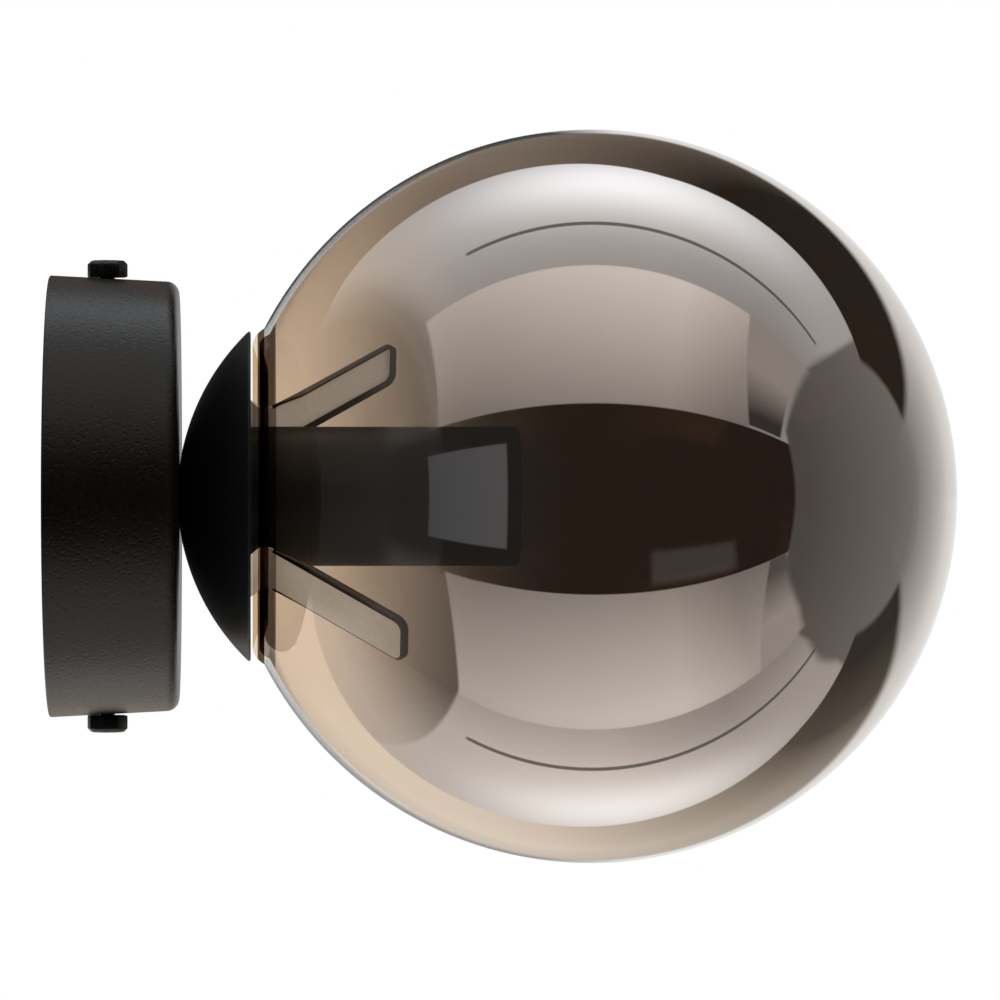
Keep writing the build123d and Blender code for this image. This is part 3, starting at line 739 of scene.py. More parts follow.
# painted shade: the clip's bent edges drawn dark, for the dark surroundings they mirror
SPRING_EDGE_PAINTED_SHADE = Finish("spring_steel_edge_painted_shade", "spring_steel", (0.11, 0.095, 0.08),
                     Surface.ROLLED, roughness=0.34, metallic=1.0, relief=0.15)
BRASS = Finish("turned_brass", "brass", (0.66, 0.50, 0.22),
               Surface.ROLLED, roughness=0.3, metallic=1.0, relief=0.3)
NICKEL = Finish("nickel_plated_shell", "nickel", (0.62, 0.60, 0.55),
                Surface.ROLLED, roughness=0.25, metallic=1.0, relief=0.3)
CERAMIC = Finish("white_ceramic", "ceramic", (0.78, 0.76, 0.70),
                 Surface.FIRED, roughness=0.38, relief=0.4)
BLOCK_WHITE = Finish("terminal_block_white", "block_white", (0.75, 0.75, 0.72),
                     Surface.MOULDED, roughness=0.45, relief=0.3)
BROWN_LEAD = Finish("brown_insulation", "insulation_brown", (0.13, 0.055, 0.025),
                    Surface.MOULDED, roughness=0.42, relief=0.2)
BLUE_LEAD = Finish("blue_insulation", "insulation_blue", (0.02, 0.09, 0.32),
                   Surface.MOULDED, roughness=0.42, relief=0.2)


class Glassware:
    """Materials of the ball and the striped lead, which need more than one plain finish."""

    FACING_GLOSS = 0.04  # what bare glass mirrors straight on
    RIM = (0.83, 0.92)  # where the grazing mirror sets in, of Layer Weight's Facing
    RIM_GLOSS = 0.92
    WAY_OUT = 0.85  # of the light that has bounced inside the ball

    @classmethod
    def coat(cls, thin: Colour, thick: Colour) -> bpy.types.Material:
        """Half mirror on the outside of the ball, which fades out towards the neck.

        Args:
            thin: Colour of the mirror where it fades out.
            thick: Colour of the full mirror.

        Returns:
            The material.
        """
        material, shader, net = Paint.start("ball_mirror_coat")
        fade = net.add("ShaderNodeGroup")
        fade.node_tree = Texture.fading()
        net.feed(fade, "Thin colour", (*thin, 1.0))
        net.feed(fade, "Thick colour", (*thick, 1.0))
        # the same grazing gloss from inside and outside
        facing = net.add("ShaderNodeLayerWeight").outputs["Facing"]
        gloss = net.times(net.maths("POWER", facing, 5.0), 1.0 - cls.FACING_GLOSS)
        gloss = net.maths("ADD", gloss, cls.FACING_GLOSS)
        edge = net.times(net.ramp_range(facing, *cls.RIM), cls.RIM_GLOSS)
        gloss = net.maths("MAXIMUM", gloss, edge)
        cover = fade.outputs["Cover"]
        alpha = net.maths("ADD", cover, net.times(net.maths("SUBTRACT", 1.0, cover), gloss))
        # light that has already bounced inside the ball finds its way out more easily
        bounced = net.add("ShaderNodeLightPath").outputs["Diffuse Depth"]
        bounced = net.maths("MINIMUM", bounced, 1.0)
        passing = net.maths("SUBTRACT", 1.0, net.times(bounced, cls.WAY_OUT))
        for label, value in (
            ("Alpha", net.times(alpha, passing)),
            ("Base Color", fade.outputs["Colour"]),
            ("Metallic", 1.0),
            ("Roughness", 0.02),
            ("Coat Weight", 1.0),
            ("Coat Roughness", 0.01),
        ):
            net.feed(shader, label, value)
        return material

    @staticmethod
    def body(name: str, tint: Colour) -> bpy.types.Material:
        """Clear tinted glass, as the eye meets it at a skin of the ball.

        Args:
            name: Name of the material.
            tint: What white light becomes through one crossing.

        Returns:
            The material.
        """
        material, shader, net = Paint.start(name)
        place = net.add("ShaderNodeTexCoord").outputs["Object"]
        waves = net.noise(place, 18.0, 2.0, 0.5)
        colour = net.scaled(tint, net.ramp_range(waves, 0.3, 0.7, 0.99, 1.01))
        bounced = net.add("ShaderNodeLightPath").outputs["Diffuse Depth"]
        colour = net.over(colour, (1.0, 0.96, 0.92), net.maths("MINIMUM", bounced, 1.0))
        for label, value in (
            ("Base Color", colour), ("Transmission Weight", 1.0), ("Roughness", 0.0), ("IOR", 1.0)
        ):
            net.feed(shader, label, value)
        return material

    @staticmethod
    def striped_lead(green: Colour, yellow: Colour) -> bpy.types.Material:
        """Green insulation with yellow stripes along it.

        Args:
            green: Main colour.
            yellow: Colour of the stripes.

        Returns:
            The material.
        """
        material, shader, net = Paint.start("green_yellow_insulation")
        place = net.add("ShaderNodeTexCoord").outputs
        side = net.vector("DOT_PRODUCT", place["Normal"], (1.0, 0.6, 0.35))
        mixed = net.over(green, yellow, net.ramp_range(side, 0.10, 0.16))
        scuff = net.noise(place["Object"], 500.0, 3.0, 0.6)
        net.feed(shader, "Base Color",
                 net.scaled(mixed, net.ramp_range(scuff, 0.3, 0.7, 0.88, 1.06)))
        net.feed(shader, "Roughness", 0.42)
        return material


# --- the sconce's pieces ----------------------------------------------------------------------
def place(piece: bpy.types.Object, body: str, slot: str, *nodes: str) -> None:
    """Say where a finished piece belongs, and log it.

    Args:
        piece: The object.
        body: Name of the body that it rides on.
        slot: Name of the record's material slot; not used.
        nodes: The CAD nodes that it stands for.
    """
    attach(piece, body)
    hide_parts(*nodes)
    log.info("%s: %d faces on %s", piece.name, len(piece.data.polygons), body)


def dress(piece: bpy.types.Object, *materials: bpy.types.Material) -> None:
    """Give a piece its materials in order.

    Args:
        piece: The object.
        materials: Its materials, by the index that its faces use.
    """
    piece.data.materials.clear()
    for material in materials:
        piece.data.materials.append(material)


@dataclass
class Globe:
    """The blown ball with its rolled-in neck lip, a closed skin of even wall."""

    centre_x: float = 146.997
    radius: float = 100.0
    wall: float = 2.0
    neck: Point2 = (58.05, 45.7)
    shoulder: Point2 = (56.15, 44.15)
    fold: Point2 = (54.9, 41.6)
    edge: Point2 = (57.2, 34.4)
    inner_shoulder: Point2 = (57.78, 43.15)
    inner_neck: Point2 = (59.48, 44.1)
    steps: int = 144
    flats: int = 76
    thin: Colour = (0.60, 0.56, 0.53)
    thick: Colour = (0.60, 0.50, 0.43)
    tint: Colour = (0.774, 0.5625, 0.384)
    # dark brown of the thick lip: partly the glass's own deeper colour, partly painted shade for
    # the dark that the lip's edge refracts
    lip: Colour = (0.10, 0.06, 0.037)
    fold_tint: Colour = (0.74, 0.62, 0.48)
    fold_end_x: float = 56.4
    # the inner neck up to here takes the lip's dark tint and painted shade too
    lip_end_x: float = 61.2

    def section(self) -> list[Point2]:
        """Half section from the far pole round the lip and back inside.

        Returns:
            The points as (x, r).
        """
        centre, inner = (self.centre_x, 0.0), self.radius - self.wall
        run = (Vector(self.edge) - Vector(self.fold)).normalized()
        shift = Vector((-run.y, run.x)) * self.wall
        edge_in, fold_in = Vector(self.edge) + shift, Vector(self.fold) + shift - Vector((0, 0.5))
        tip = Vector(self.edge) + shift / 2 + run * self.wall / 2
        out_end = math.degrees(math.atan2(self.neck[1], self.neck[0] - self.centre_x))
        in_end = math.degrees(math.atan2(self.inner_neck[1], self.inner_neck[0] - self.centre_x))
        line = arc(centre, self.radius, 0.0, out_end, self.flats)
        line[0] = (self.centre_x + self.radius, 0.0)
        line[-1] = self.neck
        line += arc_through(self.neck, self.shoulder, self.fold, 7)[1:]
        line += arc_through(self.edge, tuple(tip), tuple(edge_in), 6)
        line += arc_through(tuple(fold_in), self.inner_shoulder, self.inner_neck, 7)
        line += arc(centre, inner, in_end, 0.0, self.flats)[1:]
        line[-1] = (self.centre_x + inner, 0.0)
        return line

    def build(self) -> bpy.types.Object:
        """Spin the ball and give each skin its material.

        Returns:
            The finished ball.
        """
        piece = Bench.turn("glass_ball", self.section(), self.steps)
        dress(
            piece,
            Glassware.coat(self.thin, self.thick),
            Glassware.body("ball_amber_glass", self.tint),
            Glassware.body("ball_lip_glass_and_painted_shade", self.lip),
            Glassware.body("ball_fold_glass", self.fold_tint),
        )
        centre = Vector((self.centre_x, 0, 0)) * MM
        middle = (self.radius - self.wall / 2) * MM
        coat, clear, lip, fold = range(4)
        for face in piece.data.polygons:
            if face.center.x < self.fold_end_x * MM:
                face.material_index = fold
            elif face.center.x < self.neck[0] * MM:
                face.material_index = lip
            elif (face.center - centre).length > middle:
                face.material_index = coat
            else:
                face.material_index = lip if face.center.x < self.lip_end_x * MM else clear
        place(piece, "globe", "smoke_glass", "glass_globe")
        return piece


@dataclass
class Canopy:
    """The drawn steel cup on the wall."""

    radius: float = 60.0
    depth: float = 35.0
    draft: float = 1.75
    wall: float = 1.5
    corner: float = 3.5
    rim: float = 0.25
    bore: float = 5.25
    screw_x: float = 15.5
    screw_hole: float = 2.25

    def build(self) -> bpy.types.Object:
        """Spin the cup and drill it for its side screws.

        Returns:
            The finished canopy.
        """
        front = self.radius - self.draft
        slope = self.draft / self.depth
        inner_x = self.depth - self.wall
        inner_front = self.radius - slope * inner_x - self.wall
        outside = rounded(
            [(self.depth, self.bore), (self.depth, front),
             (self.rim, self.radius - slope * self.rim)],
            [self.corner], 9,
        )
        inside = rounded(
            [(0.0, self.radius - self.wall), (inner_x, inner_front), (inner_x, self.bore)],
            [self.corner - self.wall], 6,
        )
        line = outside + [(0.0, self.radius - self.rim)] + inside + [outside[0]]
        piece = Bench.turn("canopy_cup", line, 128)
        Bench.drill(piece, self.screw_hole, 2 * self.radius + 10, (self.screw_x, 0, 0))
        Bench.settle(piece)
        dress(piece, Paint.opaque(POWDER_BLACK))
        place(piece, "fixture", POWDER_BLACK.slot, "canopy")
        return piece


@dataclass
class SideScrew:
    """An octagon-headed screw in the canopy's side."""

    x: float = 15.5
    across: float = 11.2
    turn: float = -10.6
    seat: float = 59.605
    height: float = 4.5
    bevel: float = 1.0
    soft: float = 0.22
    shank: float = 2.0
    point: float = 0.4
    tip: float = 47.55
    smooth: float = 24.0

    def build(self) -> list[bpy.types.Object]:
        """Model the top screw and mirror it for the bottom.

        Returns:
            Both screws.
        """
        Bench.clear()
        bpy.ops.mesh.primitive_cylinder_add(
            vertices=8, radius=self.across / 2 * MM, depth=self.height * MM,
            location=(self.x * MM, 0, (self.seat + self.height / 2) * MM),
            rotation=(0, 0, math.radians(self.turn)),
        )
        head = bpy.context.object
        head.name = head.data.name = "side_screw_head_top"
        bpy.ops.object.mode_set(mode="EDIT")
        top = (self.seat + self.height) * MM
        Bench.pick(head, "EDGE", lambda at: abs(at.z - top) < NEAR)
        bpy.ops.mesh.bevel(offset=self.bevel * MM, segments=1)
        Bench.clear()
        Bench.modify(
            head, "BEVEL", width=self.soft * MM, segments=2, limit_method="ANGLE",
            angle_limit=math.radians(25),
        )
        bpy.ops.mesh.primitive_cylinder_add(
            vertices=32, radius=self.shank * MM, depth=(self.seat - self.tip) * MM,
            location=(self.x * MM, 0, (self.seat + self.tip) / 2 * MM),
        )
        shank = bpy.context.object
        bpy.ops.object.mode_set(mode="EDIT")
        Bench.pick(shank, "EDGE", lambda at: abs(at.z - self.tip * MM) < NEAR)
        bpy.ops.mesh.bevel(offset=self.point * MM, segments=1)
        Bench.clear()
        shank.select_set(True)
        head.select_set(True)
        bpy.context.view_layer.objects.active = head
        bpy.ops.object.join()
        Bench.settle(head, self.smooth)
        dress(head, Paint.opaque(POWDER_BLACK))
        other = head.copy()
        other.data = head.data.copy()
        other.name = other.data.name = "side_screw_head_bottom"
        bpy.context.collection.objects.link(other)
        other.data.transform(Matrix.Scale(-1.0, 4, (0, 0, 1)))
        other.data.flip_normals()
        place(head, "top_screw", POWDER_BLACK.slot, "side_screw_top")
        place(other, "bottom_screw", POWDER_BLACK.slot, "side_screw_bottom")
        return [head, other]


@dataclass
class Dish:
    """The shallow spun dish behind the ball."""

    back_x: float = 35.0
    rim_x: float = 54.4
    rim_r: float = 45.5
    inner_rim_r: float = 43.82
    radius: float = 63.05
    wall: float = 1.2
    seat: float = 8.0
    bore: float = 5.25
    rim_round: float = 0.48

    def build(self) -> bpy.types.Object:
        """Spin the dish.

        Returns:
            The finished dish.
        """
        outside = arc_between((self.back_x, self.seat), (self.rim_x, self.rim_r), self.radius, 32)
        inner_x = self.back_x + self.wall
        inside = arc_between(
            (self.rim_x, self.inner_rim_r), (inner_x, self.seat), self.wall - self.radius, 32
        )
        rim = rounded(
            [outside[-2], (self.rim_x, self.rim_r), (self.rim_x, self.inner_rim_r), inside[1]],
            [self.rim_round] * 2, 4,
        )
        line = [(self.back_x, self.bore)] + outside[:-2] + rim + inside[2:]
        line += [(inner_x, self.bore), (self.back_x, self.bore)]
        piece = Bench.turn("dish_shell", line, 128)
        dress(piece, Paint.opaque(SATIN_BLACK))
        place(piece, "fixture", SATIN_BLACK.slot, "shade_dish")
        return piece


@dataclass
class Sleeve:
    """The plain tube over the lampholder."""

    back_x: float = 44.4
    end_x: float = 125.3
    radius: float = 19.0
    wall: float = 1.2
    bore: float = 5.25
    back_round: float = 1.0
    end_round: float = 0.3

    def build(self) -> bpy.types.Object:
        """Spin the sleeve with its closed back.

        Returns:
            The finished sleeve.
        """
        inner, floor = self.radius - self.wall, self.back_x + self.wall
        outside = rounded(
            [(self.back_x, self.bore), (self.back_x, self.radius), (self.end_x, self.radius),
             (self.end_x, inner)],
            [self.back_round, self.end_round], 5,
        )
        line = outside + [(floor, inner), (floor, self.bore), outside[0]]
        piece = Bench.turn("holder_sleeve", line, 96)
        dress(piece, Paint.opaque(SLEEVE_BLACK))
        place(piece, "fixture", SLEEVE_BLACK.slot, "lampholder_sleeve")
        return piece


@dataclass
class SpringClip:
    """A pressed leaf that holds the ball's lip, its arm stiffened by turned-in edges."""

    tail: Point2 = (44.4, 20.7)
    foot: Point2 = (44.4, 27.5)
    bump: Point2 = (53.4, 38.2)
    notch: Point2 = (58.0, 31.5)
    end: Point2 = (94.1, 66.15)
    width: float = 13.5
    sheet: float = 0.6
    bend: float = 2.4
    end_round: float = 3.2
    flange: float = 2.2
    flange_start: float = 3.0
    flange_taper: float = 10.0
    fold: float = 0.9
    # width of the painted dark band round the arm's end
    rim: float = 0.8
    edge_round: float = 0.1
    sharp: float = 50.0
    smooth: float = 40.0
    flat: float = 0.995  # cosine past which a face counts as unbent
    leftover: float = 0.05  # height of the flange where it starts
    bending: Point2 = (25.0, 28.4)  # radii between which the leaf gives when squeezed
    spokes: dict[str, float] = field(default_factory=lambda: {"upper": -54.0, "lower": 126.0})

    @property
    def along(self) -> Vector:
        """Direction of the arm in the half section, from the notch to its end."""
        return (Vector(self.end) - Vector(self.notch)).normalized()

    @property
    def arm(self) -> Vector:
        """The same direction in space."""
        return Vector((self.along.x, 0.0, self.along.y))

    @property
    def inward(self) -> Vector:
        """Square to the arm and towards the axis, where its edges are turned."""
        return Vector((self.along.y, 0.0, -self.along.x))

    @property
    def origin(self) -> Vector:
        """The notch, in metres."""
        return Vector((self.notch[0], 0.0, self.notch[1])) * MM

    @property
    def tip(self) -> Vector:
        """The arm's end, in metres."""
        return Vector((self.end[0], 0, self.end[1])) * MM

    @property
    def reach(self) -> float:
        """How far along the arm the turned edges begin, in metres."""
        return (self.flange_start - 0.01) * MM

    def line(self) -> list[Point2]:
        """Side view of the leaf, from its tail to the arm's end.

        Returns:
            The points as (x, r), with one where the flange starts and one where it is full.
        """
        stops = [
            tuple(Vector(self.notch) + self.along * s)
            for s in (self.flange_start, self.flange_start + self.flange_taper)
        ]
        bends = rounded([self.tail, self.foot, self.bump, self.notch, self.end],
                        [self.bend] * 3, 8)
        return bends[:-1] + stops + [bends[-1]]

    def on_outline(self, at: Vector) -> bool:
        """Say whether an edge is on the arm's outline beyond the flange's start.

        Args:
            at: Middle of the edge, in metres.

        Returns:
            True on both sides, the end and the rounds between them.
        """
        half, turn = self.width / 2 * MM, self.end_round * MM
        s = (at - self.origin).dot(self.arm)
        past = s - ((self.tip - self.origin).dot(self.arm) - turn)
        corner = abs(at.y) - (half - turn)
        on_side, on_end = abs(at.y) > half * 0.999, past > turn * 0.98
        on_round = past > 0 and corner > 0 and math.hypot(past, corner) > 0.9 * turn
        return s > self.reach and (on_side or on_end or on_round)

    def strip(self) -> bpy.types.Object:
        """Bend the flat strip and round the end of its arm.

        Returns:
            The strip, without thickness and in edit mode.
        """
        leaf = Bench.chain("leaf", [(x, -self.width / 2, r) for x, r in self.line()])
        bpy.ops.mesh.select_all(action="SELECT")
        bpy.ops.mesh.extrude_edges_move(
            TRANSFORM_OT_translate={"value": (0, self.width * MM, 0)}
        )
        end = self.tip
        Bench.pick(leaf, "VERT", lambda at: (Vector((at.x, 0, at.z)) - end).length < NEAR)
        bpy.ops.mesh.bevel(offset=self.end_round * MM, segments=7, affect="VERTICES")
        return leaf

    def turn_edges(self, leaf: bpy.types.Object) -> None:
        """Turn the arm's edges in, from nothing at the flange's start, and round the folds.

        Args:
            leaf: The strip, in edit mode.
        """
        origin, arm, inward = self.origin, self.arm, self.inward
        Bench.pick(leaf, "EDGE", self.on_outline)
        bpy.ops.mesh.extrude_edges_move(
            TRANSFORM_OT_translate={"value": inward * self.flange * MM}
        )
        first = origin + arm * self.flange_start * MM + inward * self.flange * MM
        Bench.pick(leaf, "VERT", lambda at: abs((at - first).dot(arm)) < NEAR / 10
                   and abs((at - first).dot(inward)) < NEAR / 10)
        bpy.ops.transform.translate(value=-inward * (self.flange - self.leftover) * MM)
        Bench.pick(leaf, "EDGE", lambda at: self.on_outline(at)
                   and abs((at - origin).dot(inward)) < NEAR / 10)
        bpy.ops.mesh.bevel(offset=self.fold * MM, segments=4, profile=0.5)
        bpy.ops.mesh.select_all(action="SELECT")
        bpy.ops.mesh.remove_doubles(threshold=WELD)
        bpy.ops.mesh.normals_make_consistent(inside=False)

    def thicken(self, leaf: bpy.types.Object) -> None:
        """Give the leaf its sheet thickness and break its edges.

        Args:
            leaf: The skin of the leaf.
        """
        Bench.settle(leaf, self.smooth)
        wide = max(leaf.data.polygons, key=lambda face: face.area)
        if wide.normal.dot(self.inward) > 0:
            leaf.data.flip_normals()
        Bench.modify(leaf, "SOLIDIFY", thickness=self.sheet * MM, offset=-1.0,
                     use_even_offset=True)
        Bench.modify(leaf, "BEVEL", width=self.edge_round * MM, segments=2,
                     limit_method="ANGLE", angle_limit=math.radians(self.sharp))
        Bench.settle(leaf, self.smooth)

    def colour(self, leaf: bpy.types.Object) -> None:
        """Paint the arm's turned edges and its rim dark: painted shade for the dark surroundings
        that these faces mirror.

        Args:
            leaf: The finished leaf, before it is turned to its side.
        """
        dress(leaf, Paint.opaque(SPRING_STEEL), Paint.opaque(SPRING_EDGE_PAINTED_SHADE))
        origin, arm, inward, reach = self.origin, self.arm, self.inward, self.reach
        half, turn, rim = self.width / 2 * MM, self.end_round * MM, self.rim * MM
        run = (self.tip - origin).length
        for face in leaf.data.polygons:
            at = face.center - origin
            bent = at.dot(arm) > reach and abs(face.normal.dot(inward)) < self.flat
            past = at.dot(arm) - run + turn
            corner = abs(face.center.y) - half + turn
            near = max(past, corner) > turn - rim or (
                min(past, corner) > 0 and math.hypot(past, corner) > turn - rim
            )
            # painted shade on the bent faces and on the band round the end
            face.material_index = 1 if bent or (at.dot(arm) > reach and near) else 0

    def build(self) -> list[bpy.types.Object]:
        """Model one leaf and turn a copy to each side of the lip.

        Returns:
            Both clips.
        """
        leaf = self.strip()
        self.turn_edges(leaf)
        self.thicken(leaf)
        self.colour(leaf)
        pieces = []
        for name, phi in self.spokes.items():
            piece = leaf.copy()
            piece.data = leaf.data.copy()
            piece.name = piece.data.name = f"{name}_clip_leaf"
            bpy.context.collection.objects.link(piece)
            piece.data.transform(Matrix.Rotation(math.radians(phi), 4, "X"))
            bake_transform(piece)
            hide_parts(f"globe_clip_{name}")
            log.info("%s: %d faces, stands for globe_clip_%s", piece.name,
                     len(piece.data.polygons), name)
            pieces.append(piece)
        bpy.data.objects.remove(leaf)
        return pieces


@dataclass
class Fittings:
    """The CAD nodes that keep their own mesh, with their finishes."""

    finishes: dict[Finish, Sequence[str]] = field(default_factory=lambda: {
        ZINC: (
            "wall_bracket", "threaded_tube", "canopy_lock_nut", "dish_lock_nut",
            "sleeve_lock_nut", "holder_lock_nut", "toothed_washer", "clip_carrier",
            "clip_clamp_plates", "clip_rivets", "holder_terminal_screws",
            "terminal_block_screws", "block_fixing_screw", "earth_ring_terminal",
        ),
        BRASS: (
            "centre_contact", "holder_terminals", "contact_screws", "terminal_block_clamps",
            "earth_screw", "earth_cup_washer",
        ),
        NICKEL: ("screw_shell",),
        CERAMIC: ("contact_base",),
        BLOCK_WHITE: ("terminal_block",),
        HOLDER_BLACK: ("holder_body", "tube_end_bushes"),
        BROWN_LEAD: ("live_lead",),
        BLUE_LEAD: ("neutral_lead",),
    })

    def build(self) -> None:
        """Dress every kept node."""
        for finish, names in self.finishes.items():
            for name in names:
                self.finish(name, Paint.opaque(finish))
        self.finish(
            "earth_lead",
            Glassware.striped_lead((0.03, 0.22, 0.05), (0.78, 0.62, 0.04)),
        )

    @staticmethod
    def finish(name: str, material: bpy.types.Material) -> None:
        """Give a CAD node its material and smooth shading.

        Args:
            name: The node.
            material: Its material.
        """
        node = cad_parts[name]
        dress(node, material)
        for face in node.data.polygons:
            face.use_smooth = True
        weld = node.modifiers.new("weld", "WELD")
        weld.merge_threshold = 1e-6
        split = node.modifiers.new("split", "EDGE_SPLIT")
        split.split_angle = math.radians(30)
        log.info("%s: CAD mesh, %s", name, material.name)


# --- studio -----------------------------------------------------------------------------------
class Climb(NamedTuple):
    """A value that climbs in a straight line between two places, level before and after."""

    low: float
    high: float
    at_low: float
    at_high: float


class Tone(Enum):
    """Tints of the studio's light, each at a strength of one."""

    CREAM = (1.0, 0.965, 0.94)
    GREY = (1.0, 0.985, 0.965)
    COOL = (1.0, 1.08, 1.17)
    PALE = (1.0, 1.03, 1.06)
    BROWN = (1.0, 0.82, 0.66)
    SAND = (1.0, 0.89, 0.76)
    UMBER = (1.38, 0.95, 0.75)


@dataclass(frozen=True)
class Storey:
    """A bright panel, the ceiling or table past it, and the lamp over that.

    Spans and places are degrees of side or rise, as in Surroundings.
    """

    span: Point2
    sides: Point2
    side_soft: float
    by_rise: Climb  # light of the ceiling or table
    by_side: Climb
    tone: Tone
    lamp: tuple[float, float, float, float]  # side, rise, half width and half height
    lamp_strength: float
    lamp_tone: Tone
    panel: Point2
    left: Climb
    right: Climb
    panel_light: Climb
    gap: Point2  # between the panel and the side wall
    gap_end: float
    gap_light: Climb


UPPER = Storey(
    span=(29.5, 146.0), sides=(-46.0, 90.0), side_soft=8.0,
    by_rise=Climb(78.0, 100.0, 0.53, 0.70), by_side=Climb(15.0, 45.0, 1.0, 0.75), tone=Tone.PALE,
    lamp=(6.0, 117.5, 27.0, 16.0), lamp_strength=1.62, lamp_tone=Tone.COOL,
    panel=(29.5, 78.2), left=Climb(30.0, 78.0, -48.5, -44.0), right=Climb(30.0, 78.0, 49.0, 42.0),
    panel_light=Climb(29.0, 76.0, 0.38, 0.93),
    gap=(30.5, 78.0), gap_end=60.0, gap_light=Climb(36.0, 56.0, 0.05, 0.40),
)
LOWER = Storey(
    span=(-142.0, -31.3), sides=(-34.5, 90.0), side_soft=0.6,
    by_rise=Climb(-96.0, -80.0, 0.88, 0.66), by_side=Climb(4.0, 34.0, 1.03, 0.62),
    tone=Tone.CREAM, lamp=(5.0, -117.0, 24.0, 14.0), lamp_strength=1.50, lamp_tone=Tone.PALE,
    panel=(-79.0, -31.3), left=Climb(-79.0, -32.0, -34.0, -46.0),
    right=Climb(-79.0, -32.0, 45.0, 56.0), panel_light=Climb(-74.0, -32.0, 0.88, 0.40),
    gap=(-79.0, -31.3), gap_end=62.0, gap_light=Climb(-60.0, -38.0, 0.46, 0.12),
)


